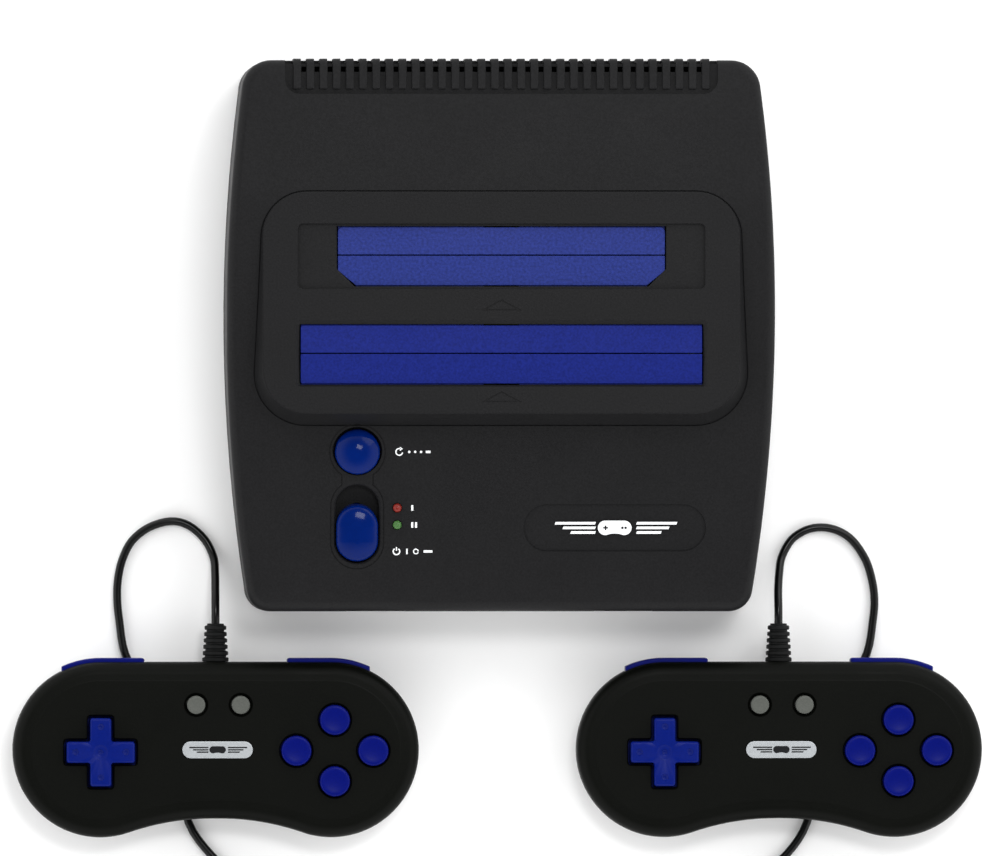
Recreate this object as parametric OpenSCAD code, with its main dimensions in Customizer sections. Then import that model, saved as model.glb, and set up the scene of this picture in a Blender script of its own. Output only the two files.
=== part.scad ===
// Wedge-shaped game console with two cartridge slots, and two wired game pads.
// Millimetres, +Z up, +Y to the rear. The origin is under the middle of the layout.

/* [Console] */
// Width of the console at its widest
console_w = 186.2; // [170:0.2:200]
// Depth of the console body without its ribs
console_d = 187; // [180:1:195]
// Height of the level rear top and of the platform
rear_h = 56; // [54:1:60]
// How far the top falls from the platform's rear edge to the front edge
top_drop = 18; // [14:1:20]
// Radius of the bulging sides in plan
side_r = 602; // [500:1:700]
// Height of the joint between the two shells
split_z = 22; // [22:0.5:23]
// Wall thickness of the console's shells
wall = 2.2; // [1.8:0.1:2.4]
// Distance of the console's centre behind the origin
console_y = 38.3; // [36:0.1:42]

/* [Platform and slots] */
// Width of the raised platform
platform_w = 162; // [158:1:166]
// Depth of the raised platform
platform_d = 75.5; // [75:0.5:78]
// Width of the rear slot, for small cartridges
small_slot_w = 111.6; // [108:0.2:114]
// Width of the front slot, for large cartridges
large_slot_w = 136.8; // [130:0.2:138]
// Depth of both slots, front to rear
slot_d = 20.4; // [20:0.2:21]
// Thickness of a flap's plate
flap_t = 1.4; // [1.2:0.1:1.6]

/* [Console controls] */
// Diameter of the reset button
reset_d = 15.3; // [14:0.1:15.5]
// Width of the power slider's knob
slider_w = 14.2; // [13:0.1:14.4]
// Length of the power slider's knob
slider_len = 19.3; // [18:0.1:20]
// Travel of the power slider
slider_travel = 6; // [4:0.5:6.5]

/* [Pads] */
// Radius of each of a pad's two lobes
lobe_r = 29.9; // [28:0.1:31]
// Distance of a lobe's centre from the pad's centre
lobe_x = 39.3; // [38:0.1:41]
// Height of a pad's face
pad_h = 21; // [20:0.5:22]
// Distance of each pad's centre to the side of the origin
pad_x = 96; // [90:1:105]
// Diameter of a face button
button_d = 10.4; // [9.5:0.1:10.6]
// Span of the direction pad
dpad_span = 23.5; // [22:0.1:24]
// Width of a direction pad arm
dpad_arm = 7.4; // [7:0.1:8]

/* [Cords] */
// Diameter of the cord
cord_d = 2.8; // [2.4:0.1:3]
// Radius at the middle of the coil's turns
coil_r = 16.5; // [16:0.1:17]

/* [Hidden] */

$fn = 48;
eps = 0.01;

// Console body
half_d = console_d / 2;
rear_corner_r = 10;
front_corner_r = 8;
widest_y = 6;                     // the bulge is widest a little behind the middle
shelf_y = 49;                     // the platform's rear edge, where the top starts to fall
fall_curve = 1.3;                 // how much the fall steepens towards the front
edge_cut = 2.5;                   // bevel along the top's front and rear edges
base_z = 1.5;                     // underside of the lower shell, on top of the feet
rib_proud = 0.5;                  // ribs of the vent band stand behind the rear edge

// Vent band along the rear edge
vent_pitch = 4.47;
vent_gaps = 31;
vent_gap_w = 1.9;
vent_run = 11;

// Inner layout
board_z = 20;
board_t = 1.6;
board_top = board_z + board_t;
boss_x = 66;
boss_y = 66;
boss_r = 4;
foot_x = 74;
foot_y = 79;
foot_r = 6;
screw_seat_z = 12;

// Platform and slots, in the console's own frame
platform_r = 15;
platform_mid_y = shelf_y - platform_d / 2;
rear_slot_y = 27;
front_slot_y = -6.3;
panel_w = 138;
panel_d = 22;
panel_sink = 1.2;
well_wall = 1.6;
well_floor_z = 36;
rear_flap_sink = panel_sink + 0.4;
front_flap_sink = 0.6;
hinge_out = 2.8;                  // hinge axis beyond the slot's edge
hinge_down = 2.8;                 // hinge axis below the flap's top
knuckle_r = 1.6;
channel = 0.2;                    // room round a knuckle
pin_r = 1;
pin_bore_r = 1.08;
flap_gap = 0.35;                  // gap round the flaps
split_shift = 0.4;                // the joint between two leaves lies behind the slot's middle
key_cut = 6;                      // cut corners of the small slot
spring_gap = 12;

// Console controls
control_x = -48.6;
reset_y = -39.3;
slider_y = -63.9;
slider_well_len = 26.9;
slider_well_w = 14.8;
slider_well_deep = 5;
slider_slope = 8.7;
tray_t = 1.8;                     // floor of the slider's tray
led_x = -35;
led_ys = [-58.3, -64.1];
led_r = 1.5;
badge_x = 38.9;
badge_y = -65.1;
badge_w = 62;
badge_d = 16;
reset_switch_h = 5;

// Front sockets and rear jacks
port_x = 42;
port_z = 29.5;
port_w = 20;
port_h = 11;
jack_xs = [-16, 0, 16];
jack_z = 30.5;
jack_r = 4.15;
recess_w = 74;
recess_deep = 9;
recess_low = 24;
recess_high = 37;
dc_x = 29;

// Pads
pad_y = console_y + half_d + rib_proud - lobe_r;
pad_split = 12;
pad_wall = 2;
waist_y = 23.5;                   // front edge at the pad's waist
waist_fillet = 30;
belly_z = 5;                      // underside between the lobes
bowl_r = 10;                      // flat that each lobe stands on
bowl_h = 11;
dpad_pos = [-39.3, -0.8];
dpad_pivot_z = 15.2;
dpad_pivot_r = 1.5;
dpad_top = pad_h + 3;
buttons_pos = [40.4, -0.3];
button_dx = 13.1;
button_dy = 10.45;
button_top_z = pad_h + 2.5;
button_low_z = 14.5;
small_button_d = 6.2;
small_button_y = 15.3;
small_button_xs = [-6.8, 8.4];
badge_len = 23.9;
badge_h = 5.7;
shoulder_in = 24.3;
shoulder_out = 52.5;
shoulder_proud = 1.3;
shoulder_low = 8;
shoulder_high = 16.5;
pad_board_z = 9;
pad_board_t = 1.4;
pad_board_top = pad_board_z + pad_board_t;
pad_screw_at = [[-56, -15], [56, -15], [-20, 20], [20, 20], [0, -17]];
pad_screw_seat = 7.5;
relief_z = 10.5;
relief_len = 13;

// Cords, in each pad's own frame: along the floor, round the loop, under the pad and out in front
left_route = [
    [0, 42.9, 10.5], [0, 48, 10.2], [0, 54, 8.2], [0, 60, 5], [-0.5, 65.5, 2.4], [-3.5, 71.5, 1.5],
    [-9, 76.3, 1.5], [-15.2, 77.7, 1.5], [-22.5, 75.6, 1.5], [-28.3, 71, 1.5], [-31.6, 64.5, 1.5],
    [-33.1, 57.5, 1.5], [-33.3, 51, 1.5], [-32.6, 44, 1.5], [-30.6, 32.5, 1.5], [-24, 20.5, 1.5],
    [-16.5, 8, 1.5], [-12.5, -8, 1.5], [-9, -25, 1.5], [-1.4, -36, 1.5], [6.8, -43, 1.5],
    [15.6, -50.5, 1.5], [22.1, -59.7, 1.5],
];
right_route = [
    [0, 42.9, 10.5], [0, 48, 10.2], [0, 54, 8.2], [0.5, 60, 5], [1.5, 65.5, 2.4], [4.8, 71.3, 1.5],
    [9.7, 74.6, 1.5], [15.2, 75.6, 1.5], [20.8, 74.4, 1.5], [25.8, 71, 1.5], [30.2, 64.5, 1.5],
    [32.4, 57.5, 1.5], [33.2, 51, 1.5], [32.7, 44, 1.5], [30.6, 32.5, 1.5], [24, 20.5, 1.5],
    [17, 8, 1.5], [13, -8, 1.5], [10.2, -25, 1.5], [3.2, -36, 1.5], [-5.8, -43.2, 1.5],
    [-15.4, -50.6, 1.5], [-22.1, -59.7, 1.5],
];
// From the coil up into the plug's boot, for a cord that turns off to -X
tail_route = [[0, -94.4, 4.3], [-5, -94.7, 4.9], [-10, -95.6, 5.9], [-13, -96, 6.2], [-15.9, -96, 6.2]];
cord_sides = 8;
cord_steps = 2;
coil_y = -70;
coil_half_w = 9.3;
coil_h = 5.7;
plug_x = 24;
plug_y = -96;
plug_z = 6.2;
boot_len = 8;

// ---------- helpers ----------

// Height of the console's top at a distance y behind its centre
function top_z(y) = y > shelf_y ? rear_h
    : rear_h - top_drop * pow((shelf_y - y) / (shelf_y + half_d), fall_curve);

// Half the console's width at y
function half_w(y) = console_w / 2 - side_r + sqrt(side_r * side_r - pow(y - widest_y, 2));

function unit(v) = v / norm(v);

// A point of the smooth curve through points a, b, c and d, between b and c
function blend_point(a, b, c, d, t) =
    0.5 * (2 * b + (c - a) * t + (2 * a - 5 * b + 4 * c - d) * t * t + (3 * b - a - 3 * c + d) * t * t * t);

function smooth(p, steps) = let (n = len(p)) concat(
    [for (i = [0 : n - 2], k = [0 : steps - 1])
        blend_point(p[max(i - 1, 0)], p[i], p[i + 1], p[min(i + 2, n - 1)], k / steps)],
    [p[n - 1]]);

// A round tube of radius r along path; ref is never parallel to the path
module tube(path, r, sides, ref) {
    n = len(path);
    points = [for (i = [0 : n - 1])
        let (t = unit(path[min(i + 1, n - 1)] - path[max(i - 1, 0)]))
        let (u = unit(cross(t, ref)), v = cross(u, t))
        for (k = [0 : sides - 1]) path[i] + r * (cos(360 * k / sides) * u + sin(360 * k / sides) * v)];
    skin = [for (i = [0 : n - 2], k = [0 : sides - 1])
        let (k2 = (k + 1) % sides)
        [i * sides + k, i * sides + k2, (i + 1) * sides + k2, (i + 1) * sides + k]];
    ends = [[for (k = [0 : sides - 1]) sides - 1 - k], [for (k = [0 : sides - 1]) (n - 1) * sides + k]];
    polyhedron(points, concat(skin, ends));
}

module round_rect(w, d, r) {
    square([w - 2 * r, d], center = true);
    square([w, d - 2 * r], center = true);
    for (sx = [-1, 1], sy = [-1, 1])
        translate([sx * (w / 2 - r), sy * (d / 2 - r)]) circle(r);
}

// A slot with round ends, its length along X
module stadium(w, d) {
    square([w - d, d], center = true);
    for (s = [-1, 1]) translate([s * (w - d) / 2, 0]) circle(d / 2);
}

module at_console() { translate([0, console_y, 0]) children(); }

module at_pad(side) { translate([side * pad_x, -pad_y, 0]) children(); }

// Stands its children on a line of (y, z) points and draws them out along X
module along_x(len) { translate([-len / 2, 0, 0]) rotate([90, 0, 90]) linear_extrude(len) children(); }

module x_rod(r, len) { translate([-len / 2, 0, 0]) rotate([0, 90, 0]) cylinder(r = r, h = len); }

// ---------- console shells ----------

module console_outline(inset) {
    rear_x = half_w(half_d - rear_corner_r) - rear_corner_r;
    front_x = half_w(-half_d + front_corner_r) - front_corner_r;
    intersection() {
        translate([side_r - console_w / 2, widest_y]) circle(side_r - inset, $fn = 360);
        translate([console_w / 2 - side_r, widest_y]) circle(side_r - inset, $fn = 360);
        translate([0, (front_corner_r - rear_corner_r) / 2])
            square([console_w, console_d - front_corner_r - rear_corner_r], center = true);
    }
    translate([-rear_x, -eps]) square([2 * rear_x, half_d - inset + eps]);
    translate([-front_x, -half_d + inset]) square([2 * front_x, half_d]);
    for (s = [-1, 1]) {
        translate([s * rear_x, half_d - rear_corner_r]) circle(rear_corner_r - inset);
        translate([s * front_x, -half_d + front_corner_r]) circle(front_corner_r - inset);
    }
}

// Everything under the falling top, drawn out sideways; drop lowers the top
module under_top(drop) {
    steps = 9;
    step = (shelf_y + half_d - edge_cut) / steps;
    falling = [for (k = [0 : steps]) let (y = shelf_y - k * step) [y, top_z(y) - drop]];
    along_x(console_w + 10) polygon(concat(
        [[-half_d, 0], [half_d, 0], [half_d, rear_h - drop - edge_cut], [half_d - edge_cut, rear_h - drop]],
        falling, [[-half_d, top_z(-half_d) - drop - edge_cut]]));
}

module console_block(inset, low) {
    intersection() {
        translate([0, 0, low]) linear_extrude(rear_h) console_outline(inset);
        under_top(inset);
    }
    translate([0, platform_mid_y, low])
        linear_extrude(rear_h - inset - low)
            round_rect(platform_w - 2 * inset, platform_d - 2 * inset, platform_r - inset);
}

module slot_plan(w, d, cut) {
    polygon([[-w / 2 + cut, -d / 2], [w / 2 - cut, -d / 2], [w / 2, -d / 2 + cut],
        [w / 2, d / 2], [-w / 2, d / 2], [-w / 2, -d / 2 + cut]]);
}

function hinge_z(sink) = rear_h - sink - hinge_down;
function hinge_y(slot_y, side) = slot_y + side * (slot_d / 2 + hinge_out);

// The block that one cartridge slot's well is cut from, up to the underside of the top
module well_block(slot_y, w) {
    depth = slot_d + 2 * (hinge_out + knuckle_r + channel + well_wall);
    translate([-w / 2 - well_wall, slot_y - depth / 2, well_floor_z])
        cube([w + 2 * well_wall, depth, rear_h - wall - well_floor_z]);
}

module well_cut(slot_y, w, sink, cut) {
    depth = slot_d + 2 * (hinge_out + knuckle_r + channel);
    roof = hinge_z(sink) + knuckle_r + channel;
    translate([-w / 2, slot_y - depth / 2, well_floor_z - 1]) cube([w, depth, roof - well_floor_z + 1]);
    translate([0, slot_y, roof - 1]) linear_extrude(rear_h) slot_plan(w, slot_d, cut);
    for (side = [-1, 1])
        translate([0, hinge_y(slot_y, side), hinge_z(sink)]) x_rod(pin_r, w + 2 * well_wall + 1);
}

module slider_tray() {
    translate([control_x, slider_y, top_z(slider_y)]) rotate([slider_slope, 0, 0])
        translate([0, 0, -slider_well_deep - tray_t]) linear_extrude(slider_well_deep + tray_t - 1)
            rotate(90) stadium(slider_well_len + 2 * well_wall, slider_well_w + 2 * well_wall);
}

// The slider's tray: a sunk stadium, and a short slot in its floor for the stem
module slider_cut() {
    translate([control_x, slider_y, top_z(slider_y)]) rotate([slider_slope, 0, 0]) {
        translate([0, 0, -slider_well_deep]) linear_extrude(20)
            rotate(90) stadium(slider_well_len, slider_well_w);
        translate([0, 0, -20]) linear_extrude(20) rotate(90) stadium(13.4, 5);
    }
}

module vent_cuts() {
    for (k = [0 : vent_gaps - 1]) translate([(k - (vent_gaps - 1) / 2) * vent_pitch, 0, 0]) {
        translate([-vent_gap_w / 2, half_d - wall - 1.5, rear_h - 14]) cube([vent_gap_w, wall + 4, 10.5]);
        translate([-vent_gap_w / 2, half_d - vent_run, rear_h - 0.8]) cube([vent_gap_w, vent_run + 4, 2]);
    }
}

module vent_ribs() {
    for (k = [0 : vent_gaps]) translate([(k - vent_gaps / 2) * vent_pitch, 0, 0])
        translate([-1.28, half_d - 1, rear_h - 16]) cube([2.56, 1 + rib_proud, 12.5]);
}

module upper_shell() {
    color([0.13, 0.13, 0.13]) at_console() difference() {
        union() {
            difference() {
                console_block(0, split_z);
                console_block(wall, split_z - 1);
            }
            slider_tray();
            vent_ribs();
            for (sx = [-1, 1], sy = [-1, 1])
                translate([sx * boss_x, sy * boss_y, board_top])
                    cylinder(r = boss_r, h = top_z(sy * boss_y) - board_top - 1.2);
        }
        well_cut(rear_slot_y, small_slot_w, rear_flap_sink, key_cut);
        well_cut(front_slot_y, large_slot_w, front_flap_sink, 0.5);
        translate([0, rear_slot_y, rear_h - panel_sink]) linear_extrude(5)
            round_rect(panel_w, panel_d, 1.7);
        slider_cut();
        vent_cuts();
        translate([control_x, reset_y, 30]) cylinder(d = reset_d + 0.7, h = 30);
        for (y = led_ys) translate([led_x, y, 30]) cylinder(r = led_r + 0.15, h = 30);
        translate([badge_x, badge_y, top_z(badge_y)]) rotate([slider_slope, 0, 0])
            translate([0, 0, -0.6]) linear_extrude(5) stadium(badge_w, badge_d);
        for (sx = [-1, 1], sy = [-1, 1]) translate([sx * boss_x, sy * boss_y, board_top - 1])
            cylinder(r = 1.5, h = 14);
        for (s = [-1, 1]) translate([s * port_x - port_w / 2, -half_d - 1, port_z - port_h / 2])
            cube([port_w, wall + 2, port_h]);
        pocket_cut();
    }
}

// Walls of the two cartridge wells, hung under the top
module slot_wells() {
    color([0.11, 0.11, 0.11]) at_console() difference() {
        union() {
            well_block(rear_slot_y, small_slot_w);
            well_block(front_slot_y, large_slot_w);
        }
        well_cut(rear_slot_y, small_slot_w, rear_flap_sink, key_cut);
        well_cut(front_slot_y, large_slot_w, front_flap_sink, 0.5);
    }
}

module pocket_cut() {
    translate([-recess_w / 2, half_d - recess_deep, recess_low])
        cube([recess_w, recess_deep + 1, recess_high - recess_low]);
}

// The box behind the rear wall's opening, with a hole round each jack
module jack_pocket() {
    color([0.11, 0.11, 0.11]) at_console() difference() {
        translate([-recess_w / 2 - well_wall, half_d - recess_deep - well_wall, split_z])
            cube([
                recess_w + 2 * well_wall, recess_deep + well_wall - wall, recess_high + well_wall - split_z
            ]);
        pocket_cut();
        for (x = jack_xs) translate([x, half_d, jack_z]) rotate([90, 0, 0]) cylinder(r = 5.5, h = 20);
        translate([dc_x, half_d, jack_z]) rotate([90, 0, 0]) cylinder(r = 4.6, h = 20);
    }
}

module lower_shell() {
    color([0.12, 0.12, 0.12]) at_console() difference() {
        union() {
            difference() {
                translate([0, 0, base_z]) linear_extrude(split_z - base_z) console_outline(0);
                translate([0, 0, base_z + wall]) linear_extrude(split_z) console_outline(wall);
            }
            for (sx = [-1, 1], sy = [-1, 1]) translate([sx * boss_x, sy * boss_y, base_z])
                cylinder(r = boss_r + 1, h = board_z - base_z);
        }
        for (sx = [-1, 1], sy = [-1, 1]) translate([sx * boss_x, sy * boss_y, 0]) {
            cylinder(r = 1.6, h = 30);
            cylinder(r = 3.3, h = screw_seat_z);
        }
        for (sx = [-1, 1], sy = [-1, 1]) translate([sx * foot_x, sy * foot_y, 0])
            cylinder(r = foot_r, h = base_z + 0.8);
        // cooling slots under the board
        for (k = [-4 : 4]) translate([k * 8, 0, 0]) linear_extrude(6) rotate(90) stadium(40, 3);
    }
}

module console_feet() {
    color([0.07, 0.07, 0.07]) at_console() for (sx = [-1, 1], sy = [-1, 1])
        translate([sx * foot_x, sy * foot_y, 0]) {
            cylinder(r1 = foot_r - 0.6, r2 = foot_r, h = 0.6);
            translate([0, 0, 0.6]) cylinder(r = foot_r, h = base_z + 0.2);
        }
}

module console_screws() {
    color([0.6, 0.6, 0.62]) at_console() for (sx = [-1, 1], sy = [-1, 1])
        translate([sx * boss_x, sy * boss_y, screw_seat_z]) difference() {
            union() {
                translate([0, 0, -2.2]) cylinder(r = 3, h = 2.2);
                cylinder(r = 1.5, h = 20);
            }
            for (a = [0, 90]) rotate(a) translate([-1.6, -0.35, -2.6]) cube([3.2, 0.7, 1.6]);
        }
}

// ---------- slot flaps ----------

// One leaf with its hinge axis on X, reaching towards +Y; cut takes off its outer corners
module flap_leaf(w, reach, cut) {
    low = hinge_down - flap_t;
    start = hinge_out + flap_gap;
    difference() {
        union() {
            translate([0, 0, low]) linear_extrude(flap_t)
                polygon([[-w / 2 + cut, start], [w / 2 - cut, start], [w / 2, start + cut],
                    [w / 2, reach], [-w / 2, reach], [-w / 2, start + cut]]);
            along_x(w - 2 * cut) polygon([[0, -1.5], [0, 1.5], [2.7, 1.5], [3.4, 1.6], [6, low + 0.1],
                [3, -0.2], [1, -1.5]]);
            x_rod(knuckle_r, w - 2 * cut);
        }
        x_rod(pin_bore_r, w + 2);
        translate([-spring_gap / 2, -2, -3]) cube([spring_gap, 4.6, 4.65]);
    }
}

module flap(slot_y, w, sink, side, cut) {
    reach = slot_d / 2 + hinge_out - 0.2 + side * -split_shift;
    at_console() translate([0, hinge_y(slot_y, side), hinge_z(sink)])
        mirror([0, side > 0 ? 1 : 0, 0]) flap_leaf(w - 2 * flap_gap, reach, cut);
}

module rear_slot_back_flap() {
    color([0.15, 0.2, 0.55]) flap(rear_slot_y, small_slot_w, rear_flap_sink, 1, 0);
}

module rear_slot_front_flap() {
    color([0.13, 0.17, 0.5]) flap(rear_slot_y, small_slot_w, rear_flap_sink, -1, key_cut);
}

module front_slot_back_flap() {
    color([0.12, 0.16, 0.52]) flap(front_slot_y, large_slot_w, front_flap_sink, 1, 0);
}

module front_slot_front_flap() {
    color([0.1, 0.14, 0.48]) flap(front_slot_y, large_slot_w, front_flap_sink, -1, 0);
}

module flap_pins() {
    color([0.7, 0.7, 0.72]) at_console() for (side = [-1, 1]) {
        translate([0, hinge_y(rear_slot_y, side), hinge_z(rear_flap_sink)])
            x_rod(pin_r, small_slot_w + 2 * well_wall);
        translate([0, hinge_y(front_slot_y, side), hinge_z(front_flap_sink)])
            x_rod(pin_r, large_slot_w + 2 * well_wall);
    }
}

// A wire spring round a pin, with both its ends turned out along the well's wall
module flap_spring() {
    turns = 5;
    per_turn = 10;
    mean_r = 1.33;
    half_len = 4;
    coil = [for (i = [0 : turns * per_turn]) let (a = 180 + 360 * i / per_turn)
        [-half_len + 2 * half_len * i / (turns * per_turn), mean_r * cos(a), mean_r * sin(a)]];
    tube(concat([[-half_len, -mean_r, 5]], coil, [[half_len, -mean_r, 5]]), 0.2, 5, [1, 0, 0]);
}

module flap_springs() {
    color([0.6, 0.6, 0.6]) at_console() for (side = [-1, 1]) {
        translate([0, hinge_y(rear_slot_y, side), hinge_z(rear_flap_sink)])
            mirror([0, side > 0 ? 1 : 0, 0]) mirror([0, 0, 1]) flap_spring();
        translate([0, hinge_y(front_slot_y, side), hinge_z(front_flap_sink)])
            mirror([0, side > 0 ? 1 : 0, 0]) mirror([0, 0, 1]) flap_spring();
    }
}

// ---------- console controls ----------

module reset_button() {
    top = top_z(reset_y) + 2.6;
    dome_r = 14;
    color([0.06, 0.14, 0.42]) at_console() translate([control_x, reset_y, 0]) {
        intersection() {
            translate([0, 0, 36]) cylinder(d = reset_d, h = top - 36);
            translate([0, 0, top - dome_r]) sphere(dome_r, $fn = 64);
        }
        translate([0, 0, 36]) cylinder(d = reset_d + 3, h = 1.4);
        translate([0, 0, board_top + reset_switch_h + 1.6]) cylinder(r = 2, h = 8.5);
    }
}

module power_slider() {
    knob_y = -(slider_well_len - slider_len) / 2 + 0.6;
    color([0.05, 0.13, 0.4]) at_console() translate([control_x, slider_y, top_z(slider_y)])
        rotate([slider_slope, 0, 0]) {
            translate([0, knob_y, 0]) intersection() {
                translate([0, 0, 0.4 - slider_well_deep]) linear_extrude(slider_well_deep + 1.8)
                    rotate(90) stadium(slider_len, slider_w);
                translate([0, 0, 2.2 - 24]) sphere(24, $fn = 64);
            }
            // stem through the tray's slot to the switch's lever
            translate([-1.5, -5.2, -15]) cube([3, 4, 11.5]);
        }
}

module status_leds() {
    color([0.7, 0.2, 0.15]) at_console() for (y = led_ys) translate([led_x, y, 0]) {
        translate([0, 0, top_z(y) - 3.4]) cylinder(r = led_r, h = 3);
        translate([0, 0, top_z(y) - 0.4]) intersection() {
            sphere(led_r);
            cylinder(r = led_r, h = 2);
        }
        translate([0, 0, top_z(y) - 4.4]) cylinder(r = led_r + 0.4, h = 1);
        for (s = [-1, 1]) translate([s * 0.7, 0, board_top])
            cylinder(r = 0.3, h = top_z(y) - 4 - board_top);
    }
}

// ---------- console electronics ----------

module main_board() {
    color([0.1, 0.35, 0.2]) at_console() difference() {
        translate([-76, -82, board_z]) cube([152, 162, board_t]);
        for (sx = [-1, 1], sy = [-1, 1])
            translate([sx * boss_x, sy * boss_y, board_z - 1]) cylinder(r = 1.6, h = 5);
    }
}

module board_chips() {
    color([0.08, 0.08, 0.09]) at_console() {
        for (p = [[-40, 58, 26, 12], [0, 56, 20, 20], [30, -50, 18, 18], [0, -45, 14, 9], [48, 58, 12, 8]])
            translate([p[0] - p[2] / 2, p[1] - p[3] / 2, board_top]) cube([p[2], p[3], 2.4]);
        for (x = [-24, -18, 20, 26]) translate([x, 68, board_top]) cylinder(r = 2.5, h = 7);
    }
}

module board_switches() {
    color([0.25, 0.25, 0.27]) at_console() {
        translate([control_x - 3, reset_y - 3, board_top]) cube([6, 6, 3.6]);
        translate([control_x, reset_y, board_top]) cylinder(r = 1.75, h = reset_switch_h);
        translate([control_x - 4.5, slider_y - 9, board_top]) difference() {
            cube([9, 18, 5.5]);
            translate([2.5, 2, 3]) cube([4, 14, 3]);
        }
    }
}

// An edge connector: a long body with a slot for the cartridge's board and a row of pins below
module edge_connector(slot_y, len) {
    at_console() translate([0, slot_y, board_top]) difference() {
        translate([-len / 2, -5.5, 0]) cube([len, 11, 14]);
        translate([-len / 2 + 4, -0.8, 5]) cube([len - 8, 1.6, 10]);
        for (s = [-1, 1]) translate([-len / 2 + 4, s * 2.2 - 0.6, 11]) cube([len - 8, 1.2, 4]);
    }
}

module rear_cartridge_connector() { color([0.1, 0.1, 0.1]) edge_connector(rear_slot_y, 86); }

module front_cartridge_connector() { color([0.1, 0.1, 0.1]) edge_connector(front_slot_y, 106); }

module controller_ports() {
    pin_start = -half_d + 6.5;
    pin_pitch = 2.8;
    color([0.3, 0.3, 0.32]) at_console() for (s = [-1, 1]) translate([s * port_x, 0, 0]) {
        difference() {
            union() {
                translate([-15.5, -half_d + wall + 0.3, board_top]) cube([31, 11, 14.2]);
                translate([0, -half_d + 0.5, port_z]) rotate([-90, 0, 0]) linear_extrude(6)
                    round_rect(18.6, 9.8, 2.4);
            }
            translate([0, -half_d, port_z]) rotate([-90, 0, 0]) linear_extrude(11) round_rect(17, 8.2, 2);
        }
        for (row = [-1, 1], k = [row < 0 ? -1.5 : -2 : 2])
            translate([k * pin_pitch, pin_start, port_z + row * pin_pitch / 2]) rotate([-90, 0, 0])
                cylinder(r = 0.5, h = 5);
    }
}

module rear_jacks() {
    back = half_d - recess_deep;
    color([0.75, 0.75, 0.76]) at_console() {
        for (x = jack_xs) translate([x, 0, jack_z]) difference() {
            union() {
                translate([0, half_d - 0.4, 0]) rotate([90, 0, 0])
                    cylinder(r = jack_r, h = recess_deep + 3);
                translate([-5, back - 12, board_top - jack_z]) cube([10, 9.5, 13.5]);
            }
            translate([0, half_d + 1, 0]) rotate([90, 0, 0]) cylinder(r = 1.7, h = 9);
        }
        translate([dc_x, 0, jack_z]) difference() {
            union() {
                translate([0, half_d - 2, 0]) rotate([90, 0, 0]) cylinder(r = 4.2, h = recess_deep + 2);
                translate([-4.5, back - 12, board_top - jack_z]) cube([9, 9.5, 13.2]);
            }
            translate([0, half_d + 1, 0]) rotate([90, 0, 0]) cylinder(r = 2.85, h = 11);
        }
        translate([dc_x, half_d - 3, jack_z]) rotate([90, 0, 0]) cylinder(r = 1.05, h = 10);
    }
}

// ---------- pads ----------

// A pad's outline: two lobes, a straight rear edge and a waist at the front
module pad_outline(inset) {
    fillet_dx = sqrt(pow(lobe_r + waist_fillet, 2) - pow(waist_y + waist_fillet, 2));
    fillet_x = lobe_x - fillet_dx;
    touch_y = lobe_r * (waist_y + waist_fillet) / (lobe_r + waist_fillet);
    for (s = [-1, 1]) translate([s * lobe_x, 0]) circle(lobe_r - inset, $fn = 96);
    difference() {
        translate([-lobe_x, -touch_y + inset]) square([2 * lobe_x, touch_y + lobe_r - 2 * inset]);
        translate([-fillet_x, -waist_y - 20 + inset]) square([2 * fillet_x, 20]);
        for (s = [-1, 1]) translate([s * fillet_x, -waist_y - waist_fillet])
            circle(waist_fillet + inset, $fn = 96);
    }
}

// The bowl that each lobe stands on, thinner by inset
module pad_bowls(inset) {
    side = [for (a = [0 : 15 : 90])
        [bowl_r + (lobe_r - inset - bowl_r) * sin(a), inset + (bowl_h - inset) * (1 - cos(a))]];
    top = pad_split + inset / 10;
    for (s = [-1, 1]) translate([s * lobe_x, 0, 0]) rotate_extrude($fn = 96)
        polygon(concat([[0, inset]], side, [[lobe_r - inset, top], [0, top]]));
}

module shoulder_windows() {
    middle = [(shoulder_in + shoulder_out) / 2, lobe_r - 1, (shoulder_low + shoulder_high) / 2];
    for (s = [-1, 1]) translate([s * middle[0], middle[1], middle[2]])
        cube([shoulder_out - shoulder_in + 0.6, 14, shoulder_high - shoulder_low + 0.6], center = true);
}

module relief_hole() {
    translate([0, lobe_r + 1, relief_z]) rotate([90, 0, 0]) cylinder(r = 3.2, h = 5);
}

module pad_front_shell() {
    color([0.1, 0.1, 0.1]) difference() {
        union() {
            difference() {
                translate([0, 0, pad_split]) linear_extrude(pad_h - pad_split) pad_outline(0);
                translate([0, 0, pad_split - 1]) linear_extrude(pad_h - pad_wall - pad_split + 1)
                    pad_outline(pad_wall);
            }
            for (p = pad_screw_at) translate([p[0], p[1], pad_board_top])
                cylinder(r = 2.4, h = pad_h - 1 - pad_board_top);
        }
        for (p = pad_screw_at) translate([p[0], p[1], pad_board_top - 1]) cylinder(r = 1.1, h = 7);
        translate([dpad_pos[0], dpad_pos[1], 10]) for (a = [0, 90]) rotate(a)
            translate([-dpad_span / 2 - 0.7, -dpad_arm / 2 - 0.7, 0])
                cube([dpad_span + 1.4, dpad_arm + 1.4, 20]);
        for (p = [[0, 1], [0, -1], [1, 0], [-1, 0]])
            translate([buttons_pos[0] + p[0] * button_dx, buttons_pos[1] + p[1] * button_dy, 10])
                cylinder(d = button_d + 0.7, h = 20);
        for (x = small_button_xs) translate([x, small_button_y, 10])
            cylinder(d = small_button_d + 0.6, h = 20);
        translate([0.5, 0, pad_h - 0.4]) linear_extrude(1) stadium(badge_len, badge_h);
        shoulder_windows();
        relief_hole();
    }
}

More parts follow.
